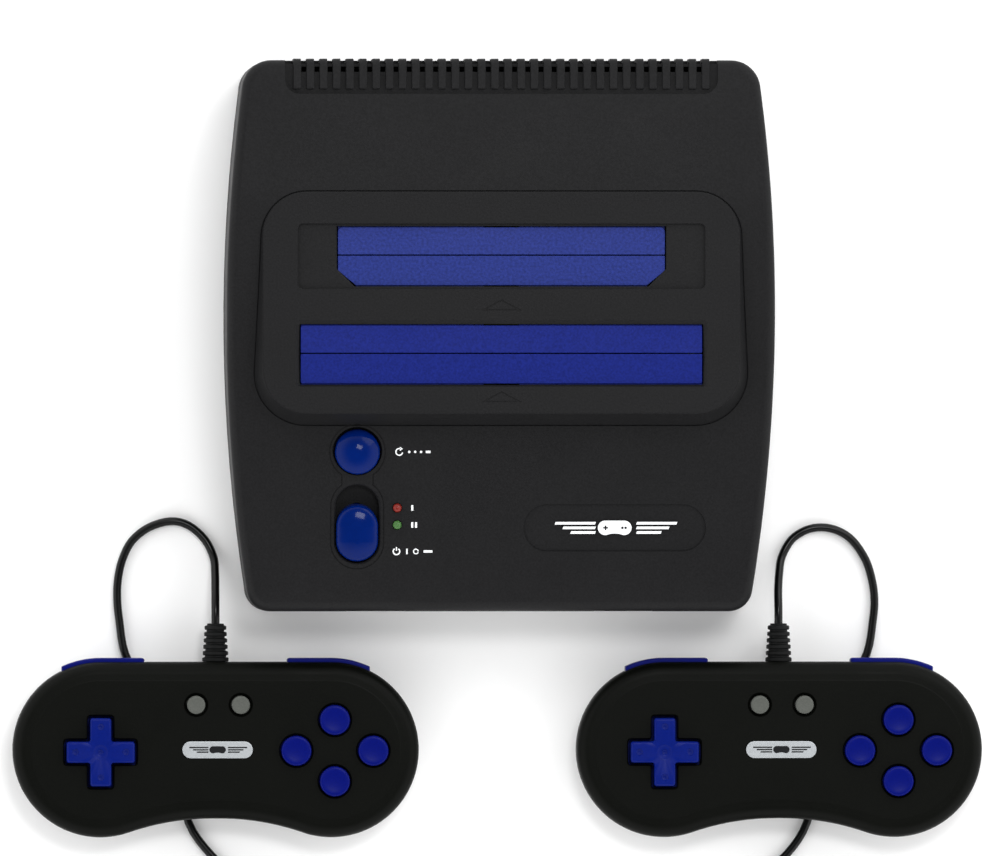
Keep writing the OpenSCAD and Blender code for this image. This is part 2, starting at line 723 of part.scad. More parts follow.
module pad_back_shell() {
    color([0.09, 0.09, 0.09]) difference() {
        union() {
            difference() {
                union() {
                    pad_bowls(0);
                    translate([0, 0, belly_z]) linear_extrude(pad_split - belly_z) intersection() {
                        pad_outline(0);
                        square([2 * lobe_x, 4 * lobe_r], center = true);
                    }
                }
                pad_bowls(pad_wall);
                translate([0, 0, belly_z + pad_wall]) linear_extrude(pad_split) intersection() {
                    pad_outline(pad_wall);
                    square([2 * lobe_x, 4 * lobe_r], center = true);
                }
            }
            for (p = pad_screw_at) translate([p[0], p[1], 0]) intersection() {
                cylinder(r = 3.6, h = pad_board_z);
                translate([0, 0, abs(p[0]) > 40 ? 3 : belly_z]) cylinder(r = 5, h = 20);
            }
        }
        for (p = pad_screw_at) translate([p[0], p[1], 0]) {
            cylinder(r = 2.5, h = pad_screw_seat);
            cylinder(r = 1.3, h = 20);
        }
        shoulder_windows();
        relief_hole();
    }
}

module pad_screws() {
    color([0.6, 0.6, 0.62]) for (p = pad_screw_at) translate([p[0], p[1], pad_screw_seat]) difference() {
        union() {
            translate([0, 0, -1.6]) cylinder(r = 2.2, h = 1.6);
            cylinder(r = 1.1, h = 8);
        }
        for (a = [0, 90]) rotate(a) translate([-1.2, -0.3, -2]) cube([2.4, 0.6, 1.2]);
    }
}

module pad_dpad() {
    color([0.09, 0.14, 0.45]) translate([dpad_pos[0], dpad_pos[1], 0]) difference() {
        union() {
            for (a = [0, 90]) rotate(a) translate([-dpad_span / 2, -dpad_arm / 2, 15.6])
                cube([dpad_span, dpad_arm, dpad_top - 15.6]);
            translate([0, 0, 15.6]) cylinder(r = 12.6, h = 1);
        }
        translate([0, 0, dpad_pivot_z]) sphere(dpad_pivot_r + 0.1);
        translate([0, 0, dpad_top + 8.4]) sphere(9);
    }
}

module pad_dpad_pivot() {
    color([0.6, 0.6, 0.6]) translate([dpad_pos[0], dpad_pos[1], dpad_pivot_z]) sphere(dpad_pivot_r);
}

// A round button with a retaining flange and a slightly domed top
module round_button(d, top, flange) {
    intersection() {
        translate([0, 0, button_low_z]) cylinder(d = d, h = top - button_low_z);
        translate([0, 0, top - d]) sphere(d, $fn = 64);
    }
    translate([0, 0, button_low_z + 1]) cylinder(d = d + flange, h = 1.2);
}

module face_button(dx, dy) {
    color([0.08, 0.12, 0.46])
        translate([buttons_pos[0] + dx * button_dx, buttons_pos[1] + dy * button_dy, 0])
            round_button(button_d, button_top_z, 2.4);
}

module pad_button_top() { face_button(0, 1); }

module pad_button_left() { face_button(-1, 0); }

module pad_button_right() { face_button(1, 0); }

module pad_button_bottom() { face_button(0, -1); }

module small_button(x) {
    color([0.42, 0.42, 0.41]) translate([x, small_button_y, 0])
        round_button(small_button_d, pad_h + 1.4, 2);
}

module pad_select_button() { small_button(small_button_xs[0]); }

module pad_start_button() { small_button(small_button_xs[1]); }

// A shoulder button follows the rear edge and the lobe's curve
module shoulder() {
    deep = 7;
    color([0.08, 0.12, 0.44]) translate([0, 0, shoulder_low]) linear_extrude(shoulder_high - shoulder_low)
        intersection() {
            difference() {
                union() {
                    translate([lobe_x, 0]) circle(lobe_r + shoulder_proud, $fn = 96);
                    square([lobe_x, lobe_r + shoulder_proud]);
                }
                translate([lobe_x, 0]) circle(lobe_r + shoulder_proud - deep, $fn = 96);
                square([lobe_x, lobe_r + shoulder_proud - deep]);
            }
            translate([shoulder_in, 15]) square([shoulder_out - shoulder_in, 30]);
        }
}

module pad_shoulder_right() { shoulder(); }

module pad_shoulder_left() { mirror([1, 0, 0]) shoulder(); }

module pad_badge() {
    color([0.7, 0.72, 0.73]) translate([0.5, 0, pad_h - 0.4]) linear_extrude(0.7)
        stadium(badge_len, badge_h);
}

module pad_board() {
    color([0.12, 0.38, 0.22]) translate([0, 0, pad_board_z]) linear_extrude(pad_board_t) difference() {
        union() {
            for (s = [-1, 1]) translate([s * lobe_x, -2]) circle(22);
            translate([-lobe_x, -19]) square([2 * lobe_x, 40]);
            for (p = pad_screw_at) translate(p) circle(3.5);
        }
        for (p = pad_screw_at) translate(p) circle(1.3);
    }
}

module rubber_dome(x, y, r) { translate([x, y, pad_board_top]) cylinder(r1 = r, r2 = r * 0.7, h = 2.8); }

module pad_rubber_pads() {
    color([0.5, 0.5, 0.5]) {
        translate([dpad_pos[0], dpad_pos[1], pad_board_top]) {
            cylinder(r = 13, h = 0.8);
            cylinder(r = 2, h = dpad_pivot_z - dpad_pivot_r - pad_board_top);
        }
        for (a = [0 : 90 : 270]) rubber_dome(dpad_pos[0] + 8.5 * cos(a), dpad_pos[1] + 8.5 * sin(a), 3);
        translate([buttons_pos[0], buttons_pos[1], pad_board_top]) linear_extrude(0.8)
            round_rect(32, 28, 7);
        for (p = [[0, 1], [0, -1], [1, 0], [-1, 0]])
            rubber_dome(buttons_pos[0] + p[0] * button_dx, buttons_pos[1] + p[1] * button_dy, 3.6);
        translate([0.8, small_button_y, pad_board_top]) linear_extrude(0.8) stadium(24, 7.6);
        for (x = small_button_xs) rubber_dome(x, small_button_y, 2.8);
    }
}

// ---------- cords ----------

// A ribbed sleeve of soft plastic, clamped in the rear wall by its neck
module pad_strain_relief() {
    ridges = 6;
    pitch = relief_len / ridges;
    steps = [for (k = [0 : ridges - 1]) let (r = 4.55 - 0.16 * k, y = k * pitch, neck = r - 0.75)
        each [[r, y], [r, y + pitch * 0.62], [neck, y + pitch * 0.62], [neck, y + pitch]]];
    color([0.08, 0.08, 0.08]) translate([0, lobe_r, relief_z]) rotate([-90, 0, 0]) {
        rotate_extrude() polygon(concat([[0, 0]], steps, [[0, relief_len]]));
        translate([0, 0, -pad_wall]) cylinder(r = 3.1, h = pad_wall);
        translate([0, 0, -pad_wall - 2]) cylinder(r = 3.4, h = 2);
    }
}

module cord_tube(route) { tube(smooth(route, cord_steps), cord_d / 2, cord_sides, [0, 0, 1]); }

module left_cord() {
    color([0.06, 0.06, 0.06]) {
        cord_tube(left_route);
        cord_tube(tail_route);
    }
}

module right_cord() {
    color([0.06, 0.06, 0.06]) {
        cord_tube(right_route);
        cord_tube([for (p = tail_route) [-p[0], p[1], p[2]]]);
    }
}

// The space of the wound cord: a closed ring
module pad_coil() {
    color([0.06, 0.06, 0.06]) translate([0, coil_y, 0]) rotate_extrude($fn = 64)
        translate([coil_r - coil_half_w, 0]) square([2 * coil_half_w, coil_h]);
}

// A nine-way plug: boot, moulded body and metal shell, from its cord end towards +X
module plug_body() {
    translate([-boot_len, 0, 0]) rotate([0, 90, 0]) cylinder(r1 = 2.3, r2 = 3.2, h = boot_len + 1);
    translate([0, 0, -plug_z]) linear_extrude(2 * plug_z)
        polygon([[0, -6], [10, -7], [17, -15.5], [33, -15.5], [33, 15.5], [17, 15.5], [10, 7], [0, 6]]);
    translate([33, 0, 0]) rotate([90, 0, 90]) linear_extrude(6) round_rect(16.6, 7.8, 2);
}

module pad_plug(side) {
    color([0.08, 0.08, 0.08]) translate([side * plug_x, plug_y, plug_z])
        mirror([side < 0 ? 1 : 0, 0, 0]) plug_body();
}

// ---------- drawing ----------

upper_shell();
lower_shell();
console_feet();
console_screws();
flap_pins();
flap_springs();
rear_cartridge_connector();
front_cartridge_connector();
main_board();
board_chips();
board_switches();
rear_jacks();
controller_ports();
status_leds();
slot_wells();
jack_pocket();
rear_slot_back_flap();
rear_slot_front_flap();
front_slot_back_flap();
front_slot_front_flap();
reset_button();
power_slider();
at_pad(-1) pad_front_shell();  // left_pad_front_shell
at_pad(-1) pad_back_shell();  // left_pad_back_shell
at_pad(-1) pad_dpad();  // left_pad_dpad
at_pad(-1) pad_dpad_pivot();  // left_pad_dpad_pivot
at_pad(-1) pad_button_top();  // left_pad_button_top
at_pad(-1) pad_button_left();  // left_pad_button_left
at_pad(-1) pad_button_right();  // left_pad_button_right
at_pad(-1) pad_button_bottom();  // left_pad_button_bottom
at_pad(-1) pad_select_button();  // left_pad_select_button
at_pad(-1) pad_start_button();  // left_pad_start_button
at_pad(-1) pad_shoulder_left();  // left_pad_shoulder_left
at_pad(-1) pad_shoulder_right();  // left_pad_shoulder_right
at_pad(-1) pad_badge();  // left_pad_badge
at_pad(-1) pad_board();  // left_pad_board
at_pad(-1) pad_rubber_pads();  // left_pad_rubber_pads
at_pad(-1) pad_screws();  // left_pad_screws
at_pad(-1) pad_strain_relief();  // left_pad_strain_relief
at_pad(-1) left_cord();  // left_pad_cord
at_pad(-1) pad_coil();  // left_pad_coil
at_pad(-1) pad_plug(-1);  // left_pad_plug
at_pad(1) pad_front_shell();  // right_pad_front_shell
at_pad(1) pad_back_shell();  // right_pad_back_shell
at_pad(1) pad_dpad();  // right_pad_dpad
at_pad(1) pad_dpad_pivot();  // right_pad_dpad_pivot
at_pad(1) pad_button_top();  // right_pad_button_top
at_pad(1) pad_button_left();  // right_pad_button_left
at_pad(1) pad_button_right();  // right_pad_button_right
at_pad(1) pad_button_bottom();  // right_pad_button_bottom
at_pad(1) pad_select_button();  // right_pad_select_button
at_pad(1) pad_start_button();  // right_pad_start_button
at_pad(1) pad_shoulder_left();  // right_pad_shoulder_left
at_pad(1) pad_shoulder_right();  // right_pad_shoulder_right
at_pad(1) pad_badge();  // right_pad_badge
at_pad(1) pad_board();  // right_pad_board
at_pad(1) pad_rubber_pads();  // right_pad_rubber_pads
at_pad(1) pad_screws();  // right_pad_screws
at_pad(1) pad_strain_relief();  // right_pad_strain_relief
at_pad(1) right_cord();  // right_pad_cord
at_pad(1) pad_coil();  // right_pad_coil
at_pad(1) pad_plug(1);  // right_pad_plug
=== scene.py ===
"""A wedge-shaped game console with two wired pads in front of it, seen from straight above."""

import math

import bmesh
import bpy
from mathutils import Matrix, Vector


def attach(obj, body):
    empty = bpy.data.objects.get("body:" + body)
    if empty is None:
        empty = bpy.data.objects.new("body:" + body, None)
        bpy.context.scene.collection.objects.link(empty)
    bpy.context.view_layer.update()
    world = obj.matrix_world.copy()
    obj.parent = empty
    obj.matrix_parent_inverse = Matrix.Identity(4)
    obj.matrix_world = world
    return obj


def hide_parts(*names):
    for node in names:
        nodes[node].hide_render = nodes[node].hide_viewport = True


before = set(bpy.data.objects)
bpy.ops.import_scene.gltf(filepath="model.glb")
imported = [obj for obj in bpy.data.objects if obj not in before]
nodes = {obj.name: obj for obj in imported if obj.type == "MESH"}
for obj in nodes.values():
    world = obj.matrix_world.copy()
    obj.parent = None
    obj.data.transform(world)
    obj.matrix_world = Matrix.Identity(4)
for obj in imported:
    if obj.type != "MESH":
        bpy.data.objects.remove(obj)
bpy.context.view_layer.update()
scene = bpy.context.scene

MM = 0.001

# ---------- the same sizes as part.scad, in millimetres ----------

CONSOLE_W, HALF_D = 186.2, 93.5
REAR_H, MAIN_H, TOP_DROP = 56, 55.65, 18
SIDE_R, WIDEST_Y = 602, 6
REAR_CORNER, FRONT_CORNER = 10, 8
SPLIT_Z, WALL = 22, 2.2
SHELF_Y, FALL_CURVE = 49, 1.3
CONSOLE_Y = 38.3
PLATFORM_W, PLATFORM_D, PLATFORM_R = 162, 75.5, 15
PLATFORM_Y = SHELF_Y - PLATFORM_D / 2
SLOT_D = 20.4
REAR_SLOT_Y, REAR_SLOT_W, REAR_SINK = 27, 111.6, 1.6
FRONT_SLOT_Y, FRONT_SLOT_W, FRONT_SINK = -6.3, 136.8, 0.6
PANEL_W, PANEL_D = 138, 22
ARROW_YS = 10.5, -20.6
HINGE_OUT, HINGE_DOWN, KNUCKLE_R = 2.8, 2.8, 1.6
CONTROL_X, RESET_Y, SLIDER_Y, SLOPE = -48.6, -39.3, -63.9, 8.7
LED_X, LED_YS = -35, (-58.3, -64.1)
BADGE_X, BADGE_Y = 38.9, -65.1
PAD_X, PAD_Y = 96, CONSOLE_Y + HALF_D + 0.5 - 29.9
LOBE_R, LOBE_X, PAD_H, PAD_SPLIT = 29.9, 39.3, 21, 12
WAIST_Y, WAIST_FILLET = 23.5, 86
CORD_D = 2.8

# ---------- camera ----------

CAMERA_H = 8000
SEEN_W, SEEN_AT = 340, 30  # millimetres across the picture, at this height

cam_data = bpy.data.cameras.new("camera")
cam_data.sensor_width = 36
cam_data.lens = 36 * (CAMERA_H - SEEN_AT) / SEEN_W
cam_data.clip_end = 20
cam = bpy.data.objects.new("camera", cam_data)
LEAN = math.radians(1.95)  # the camera stands a little to the left
AIM_X, AIM_Y = 0.34, 7.1
FAR = CAMERA_H - SEEN_AT
cam.location = ((AIM_X - FAR * math.sin(LEAN)) * MM, AIM_Y * MM, (SEEN_AT + FAR * math.cos(LEAN)) * MM)
cam.rotation_euler = (0, -LEAN, 0)
scene.collection.objects.link(cam)
scene.camera = cam

# ---------- materials ----------


def linear(c):
    c /= 255
    return c / 12.92 if c <= 0.04045 else ((c + 0.055) / 1.055) ** 2.4


def tint(colour, k):
    return tuple(min(1.0, linear(c) * k) for c in colour) + (1,)


def material(name, colour, rough, grain=2000, bump=0.1, spread=0.12, metal=0.0, specular=0.5):
    """Moulded plastic, rubber or metal: fine grain in colour and bump, slow changes in gloss."""
    m = bpy.data.materials.new(name)
    m.use_nodes = True
    tree = m.node_tree
    shader = tree.nodes["Principled BSDF"]
    new, join = tree.nodes.new, tree.links.new
    place = new("ShaderNodeTexCoord")
    fine = new("ShaderNodeTexNoise")
    fine.inputs["Scale"].default_value = grain
    fine.inputs["Detail"].default_value = 3
    slow = new("ShaderNodeTexNoise")
    slow.inputs["Scale"].default_value = 45
    slow.inputs["Detail"].default_value = 4
    for noise in (fine, slow):
        join(place.outputs["Object"], noise.inputs["Vector"])
    ramp = new("ShaderNodeValToRGB")
    ramp.color_ramp.elements[0].position = 0.3
    ramp.color_ramp.elements[1].position = 0.7
    ramp.color_ramp.elements[0].color = tint(colour, 1 - spread)
    ramp.color_ramp.elements[1].color = tint(colour, 1 + spread)
    join(fine.outputs["Fac"], ramp.inputs["Fac"])
    join(ramp.outputs["Color"], shader.inputs["Base Color"])
    gloss = new("ShaderNodeMapRange")
    gloss.inputs["From Min"].default_value = 0.3
    gloss.inputs["From Max"].default_value = 0.7
    gloss.inputs["To Min"].default_value = max(0.03, rough - 0.05)
    gloss.inputs["To Max"].default_value = min(1, rough + 0.05)
    join(slow.outputs["Fac"], gloss.inputs["Value"])
    join(gloss.outputs["Result"], shader.inputs["Roughness"])
    if bump:
        relief = new("ShaderNodeBump")
        relief.inputs["Strength"].default_value = bump
        relief.inputs["Distance"].default_value = 0.0001
        join(fine.outputs["Fac"], relief.inputs["Height"])
        join(relief.outputs["Normal"], shader.inputs["Normal"])
    shader.inputs["Metallic"].default_value = metal
    shader.inputs["Specular IOR Level"].default_value = specular
    return m


SHELL = material("shell_plastic", (21, 21, 22), 0.5, grain=1500, bump=0.35, spread=0.25, specular=0.1)
WELL = material("well_plastic", (9, 9, 10), 0.6, grain=1500, bump=0.2, specular=0.1)
PAD = material("pad_plastic", (6, 7, 5), 0.45, grain=1700, bump=0.3, spread=0.2, specular=0.06)
FLAP = material("flap_plastic", (29, 41, 105), 0.42, grain=1100, bump=0.5, spread=0.25, specular=0.1)
FLAP_SMOOTH = material("smooth_flap_plastic", (18, 29, 99), 0.45, grain=1300, bump=0.4, spread=0.2, specular=0.06)
RESET = material("reset_plastic", (1, 24, 88), 0.1, grain=300, bump=0.02, spread=0.05, specular=0.08)
KNOB = material("knob_plastic", (1, 23, 85), 0.12, grain=300, bump=0.02, spread=0.05, specular=0.08)
BUTTON = material("button_plastic", (5, 14, 93), 0.3, grain=1500, bump=0.08, spread=0.08, specular=0.06)
DPAD = material("dpad_plastic", (5, 21, 96), 0.32, grain=1500, bump=0.1, spread=0.08, specular=0.07)
GREY = material("grey_plastic", (76, 78, 74), 0.45, grain=1500, bump=0.15, spread=0.08, specular=0.15)
SILVER = material("silver_plate", (160, 164, 167), 0.32, grain=900, bump=0.08, spread=0.05, metal=0.25)
WHITE = material("white_print", (225, 227, 228), 0.5, grain=1500, bump=0.05, spread=0.04)
DARK = material("dark_print", (20, 21, 23), 0.5, grain=1500, bump=0.05, specular=0.1)
RED = material("red_lens", (112, 34, 28), 0.2, grain=2600, bump=0.3, spread=0.35, specular=0.2)
GREEN = material("green_lens", (62, 100, 52), 0.2, grain=2600, bump=0.3, spread=0.35, specular=0.2)
FOOT = material("foot_rubber", (16, 16, 16), 0.8, grain=1800, bump=0.3, specular=0.1)
DOME = material("dome_rubber", (120, 120, 118), 0.7, grain=1800, bump=0.15)
CORD = material("cord_rubber", (7, 8, 8), 0.22, grain=1200, bump=0.05, specular=0.2)
SLEEVE = material("sleeve_rubber", (9, 10, 10), 0.5, grain=1500, bump=0.15, specular=0.15)
PLUG = material("plug_plastic", (12, 12, 13), 0.4, grain=1500, bump=0.25, specular=0.12)
BLOCK = material("connector_plastic", (14, 14, 15), 0.5, grain=1500, bump=0.15, specular=0.12)
BOARD = material("board_lacquer", (20, 82, 46), 0.35, grain=500, bump=0.1)
CHIP = material("chip_epoxy", (18, 18, 19), 0.6, grain=1500, bump=0.2, specular=0.15)
STEEL = material("steel", (178, 178, 182), 0.35, grain=2500, bump=0.1, spread=0.08, metal=1)
NICKEL = material("nickel", (196, 196, 198), 0.25, grain=2500, bump=0.05, spread=0.05, metal=1)
TIN = material("tin", (150, 150, 154), 0.35, grain=2500, bump=0.1, spread=0.08, metal=1)

# ---------- mesh helpers, all in millimetres ----------


def mesh_of(points, faces):
    m = bpy.data.meshes.new("part")
    m.from_pydata([tuple(p) for p in points], [], faces)
    b = bmesh.new()
    b.from_mesh(m)
    bmesh.ops.recalc_face_normals(b, faces=b.faces)
    b.to_mesh(m)
    b.free()
    return m


def loft(rings, strips=False):
    """A closed solid through rings of equally many points.

    Its ends are single faces, or strips between mirrored points.
    """
    n = len(rings[0])
    faces = [
        (k * n + i, k * n + (i + 1) % n, (k + 1) * n + (i + 1) % n, (k + 1) * n + i)
        for k in range(len(rings) - 1)
        for i in range(n)
    ]
    for start in (0, (len(rings) - 1) * n):
        if strips:
            faces += [(start + i, start + i + 1, start + n - 2 - i, start + n - 1 - i) for i in range(n // 2 - 1)]
        else:
            faces.append(tuple(start + i for i in range(n)))
    return mesh_of([p for r in rings for p in r], faces)


def at_z(outline, z):
    return [(x, y, z) for x, y in outline]


def prism(outline, z0, z1):
    return loft([at_z(outline, z0), at_z(outline, z1)])


def stacked(outline, steps):
    """A closed solid through one plan at several (grow, z) steps, where outline(grow) is the plan."""
    return loft([at_z(outline(g), z) for g, z in steps])


def arc(cx, cy, r, a0, a1, n):
    return [
        (
            cx + r * math.cos(math.radians(a0 + (a1 - a0) * k / n)),
            cy + r * math.sin(math.radians(a0 + (a1 - a0) * k / n)),
        )
        for k in range(n + 1)
    ]


def circle(r, n=64, cx=0, cy=0):
    return arc(cx, cy, r, 0, 360, n)[:-1]


def rrect(w, d, r, cx=0, cy=0, n=8):
    x, y = w / 2 - r, d / 2 - r
    return [
        p
        for sx, sy, a in ((1, -1, -90), (1, 1, 0), (-1, 1, 90), (-1, -1, 180))
        for p in arc(cx + sx * x, cy + sy * y, r, a, a + 90, n)
    ]


def stadium(w, d, cx=0, cy=0, n=16):
    return rrect(w, d, min(w, d) / 2 - 0.001, cx, cy, n)


def lathe(profile, n=64):
    """Turned from (radius, height) points that start and end on the axis."""
    inner = profile[1:-1]
    points = [(0, 0, profile[0][1])]
    around = [(math.cos(2 * math.pi * i / n), math.sin(2 * math.pi * i / n)) for i in range(n)]
    points += [(r * c, r * s, z) for r, z in inner for c, s in around]
    points.append((0, 0, profile[-1][1]))
    faces = [(0, 1 + i, 1 + (i + 1) % n) for i in range(n)]
    for k in range(len(inner) - 1):
        a, b = 1 + k * n, 1 + (k + 1) * n
        faces += [(a + i, b + i, b + (i + 1) % n, a + (i + 1) % n) for i in range(n)]
    last = 1 + (len(inner) - 1) * n
    faces += [(last + i, len(points) - 1, last + (i + 1) % n) for i in range(n)]
    return mesh_of(points, faces)


def along_x(profile, x0, x1):
    """A (y, z) outline drawn out from x0 to x1."""
    return loft([[(x, y, z) for y, z in profile] for x in (x0, x1)])


def block(x0, x1, y0, y1, z0, z1):
    return prism([(x0, y0), (x1, y0), (x1, y1), (x0, y1)], z0, z1)


def rod_y(r, y0, y1, x, z, n=48):
    around = [(math.cos(2 * math.pi * i / n), math.sin(2 * math.pi * i / n)) for i in range(n)]
    return loft([[(x + r * c, y, z + r * s) for c, s in around] for y in (y0, y1)])


def rod_x(r, x0, x1, y=0, z=0, n=48):
    around = [(math.cos(2 * math.pi * i / n), math.sin(2 * math.pi * i / n)) for i in range(n)]
    return loft([[(x, y + r * c, z + r * s) for c, s in around] for x in (x0, x1)])


def ball(r, x, y, z, n=48):
    side = [(r * math.sin(math.pi * k / 24), r * math.cos(math.pi * k / 24)) for k in range(1, 24)]
    return moved(lathe([(0, r)] + side + [(0, -r)], n), Matrix.Translation((x, y, z)))


def moved(m, matrix):
    m.transform(matrix)
    return m


def shifted(m, x=0, y=0, z=0):
    return moved(m, Matrix.Translation((x, y, z)))


def joined(*meshes):
    """One mesh of several separate solids."""
    points, faces = [], []
    for m in meshes:
        start = len(points)
        points += [v.co.copy() for v in m.vertices]
        faces += [tuple(start + i for i in p.vertices) for p in m.polygons]
    out = bpy.data.meshes.new("part")
    out.from_pydata(points, [], faces)
    return out


def solid(a, b, operation):
    oa, ob = (bpy.data.objects.new("work", m) for m in (a, b))
    for o in (oa, ob):
        scene.collection.objects.link(o)
    step = oa.modifiers.new("step", "BOOLEAN")
    step.operation, step.solver, step.object = operation, "EXACT", ob
    bpy.context.view_layer.update()
    made = bpy.data.meshes.new_from_object(oa.evaluated_get(bpy.context.evaluated_depsgraph_get()))
    for o in (oa, ob):
        bpy.data.objects.remove(o)
    return made


def cut(a, *others):
    for b in others:
        a = solid(a, b, "DIFFERENCE")
    return a


def add(a, *others):
    for b in others:
        a = solid(a, b, "UNION")
    return a


def both(a, b):
    return solid(a, b, "INTERSECT")


def finish(o, mat, bevel=0, angle=35, weld=False):
    """Gives a piece its material, softened edges and smooth shading."""
    o.data.materials.clear()
    o.data.materials.append(mat)
    if "custom_normal" in o.data.attributes:
        o.data.attributes.remove(o.data.attributes["custom_normal"])
    if weld:
        step = o.modifiers.new("weld", "WELD")
        step.merge_threshold = 1e-6
    if bevel:
        step = o.modifiers.new("bevel", "BEVEL")
        step.width = bevel * MM
        step.segments = 3
        step.limit_method = "ANGLE"
        step.angle_limit = math.radians(30)
        step.use_clamp_overlap = True
        step.harden_normals = False
    o.data.shade_smooth()
    o.data.set_sharp_from_angle(angle=math.radians(angle))
    step = o.modifiers.new("normals", "WEIGHTED_NORMAL")
    step.keep_sharp = True
    return o


def piece(name, mesh, body, mat, at=(0, 0, 0), replaces=(), bevel=0, angle=35, matrix=None):
    """Puts a mesh in millimetres into the scene, at a place in millimetres, riding on a body."""
    if not mesh.get("scaled"):
        mesh.transform(Matrix.Scale(MM, 4))
        mesh["scaled"] = 1
    mesh.name = name
    o = bpy.data.objects.new(name, mesh)
    scene.collection.objects.link(o)
    o.matrix_world = Matrix.Translation(Vector(at) * MM) @ (matrix or Matrix())
    finish(o, mat, bevel, angle)
    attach(o, body)
    if replaces:
        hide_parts(*replaces)
    return o


AT_CONSOLE = (0, CONSOLE_Y, 0)

# ---------- cords ----------


def smooth(p, steps):
    """The same smooth curve through a route's points as part.scad's."""
    n, out = len(p), []
    for i in range(n - 1):
        a, b, c, d = (Vector(p[k]) for k in (max(i - 1, 0), i, i + 1, min(i + 2, n - 1)))
        for k in range(steps):
            t = k / steps
            bend, twist = 2 * a - 5 * b + 4 * c - d, 3 * b - a - 3 * c + d
            out.append(0.5 * (2 * b + (c - a) * t + bend * t**2 + twist * t**3))
    return out + [Vector(p[-1])]


LEFT_ROUTE = [
    (0, 42.9, 10.5), (0, 48, 10.2), (0, 54, 8.2), (0, 60, 5), (-0.5, 65.5, 2.4), (-3.5, 71.5, 1.5),
    (-9, 76.3, 1.5), (-15.2, 77.7, 1.5), (-22.5, 75.6, 1.5), (-28.3, 71, 1.5), (-31.6, 64.5, 1.5),
    (-33.1, 57.5, 1.5), (-33.3, 51, 1.5), (-32.6, 44, 1.5), (-30.6, 32.5, 1.5), (-24, 20.5, 1.5),
    (-16.5, 8, 1.5), (-12.5, -8, 1.5), (-9, -25, 1.5), (-1.4, -36, 1.5), (6.8, -43, 1.5),
    (15.6, -50.5, 1.5), (22.1, -59.7, 1.5),
]
RIGHT_ROUTE = [
    (0, 42.9, 10.5), (0, 48, 10.2), (0, 54, 8.2), (0.5, 60, 5), (1.5, 65.5, 2.4), (4.8, 71.3, 1.5),
    (9.7, 74.6, 1.5), (15.2, 75.6, 1.5), (20.8, 74.4, 1.5), (25.8, 71, 1.5), (30.2, 64.5, 1.5),
    (32.4, 57.5, 1.5), (33.2, 51, 1.5), (32.7, 44, 1.5), (30.6, 32.5, 1.5), (24, 20.5, 1.5),
    (17, 8, 1.5), (13, -8, 1.5), (10.2, -25, 1.5), (3.2, -36, 1.5), (-5.8, -43.2, 1.5),
    (-15.4, -50.6, 1.5), (-22.1, -59.7, 1.5),
]
TAIL_ROUTE = [(0, -94.4, 4.3), (-5, -94.7, 4.9), (-10, -95.6, 5.9), (-13, -96, 6.2), (-15.9, -96, 6.2)]
COIL_Y, COIL_OUT, COIL_PITCH = -70, 24.4, 2.85
COIL_LOW, COIL_HIGH = 1.45, 4.3
COIL_START, COIL_CLIMB = 25, 0.5  # entry angle, and turns spent rising to the second layer
COIL_TURNS = 11 + (COIL_START + 90) / 360
PER_TURN = 28


def coil():
    """Turns inwards on the floor, up at the middle and outwards again on top, clockwise from above."""
    layer = (COIL_TURNS - COIL_CLIMB) / 2
    out = []
    for k in range(1, int(COIL_TURNS * PER_TURN)):
        turn = k / PER_TURN
        rise = min(max((turn - layer) / COIL_CLIMB, 0), 1)
        r = COIL_OUT - COIL_PITCH * (min(turn, layer) - max(turn - layer - COIL_CLIMB, 0))
        a = math.radians(COIL_START - 360 * turn)
        z = COIL_LOW + (COIL_HIGH - COIL_LOW) * (3 - 2 * rise) * rise**2
        out.append((r * math.cos(a), COIL_Y + r * math.sin(a), z))
    return out


def make_cord(side, s, route):
    mirror = Vector((-s, 1, 1))
    turned = [Vector(p) * mirror for p in coil() + [tuple(p) for p in smooth(TAIL_ROUTE, 4)]]
    path = smooth(route, 4) + turned
    curve = bpy.data.curves.new(side + "_cord", "CURVE")
    curve.dimensions = "3D"
    curve.bevel_depth = CORD_D / 2 * MM
    curve.bevel_resolution = 4
    curve.use_fill_caps = True
    spline = curve.splines.new("POLY")
    spline.points.add(len(path) - 1)
    origin = Vector((s * PAD_X, -PAD_Y, 0))
    for point, p in zip(spline.points, path):
        point.co = (*((origin + p) * MM), 1)
    spline.use_smooth = True
    curve.materials.append(CORD)
    o = bpy.data.objects.new(side + "_wound_cord", curve)
    scene.collection.objects.link(o)
    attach(o, side)
    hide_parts(side + "_cord", side + "_coil")
    length = sum((b - a).length for a, b in zip(path, path[1:])) * MM
    return o, length, (origin + Vector(route[0])) * MM


CORDS = {
    "left_pad": make_cord("left_pad", -1, LEFT_ROUTE),
    "right_pad": make_cord("right_pad", 1, RIGHT_ROUTE),
}

# ---------- console's upper shell ----------


def top_z(y):
    """Height of the top in part.scad."""
    return REAR_H if y > SHELF_Y else REAR_H - TOP_DROP * ((SHELF_Y - y) / (SHELF_Y + HALF_D)) ** FALL_CURVE


def skin_z(y):
    """The shown top: a little under the platform at the rear, and rolling off towards the front edge."""
    roll = max(0, (-HALF_D + 15 - y) / 15)
    return top_z(y) - (REAR_H - MAIN_H) - 1.1 * roll**2


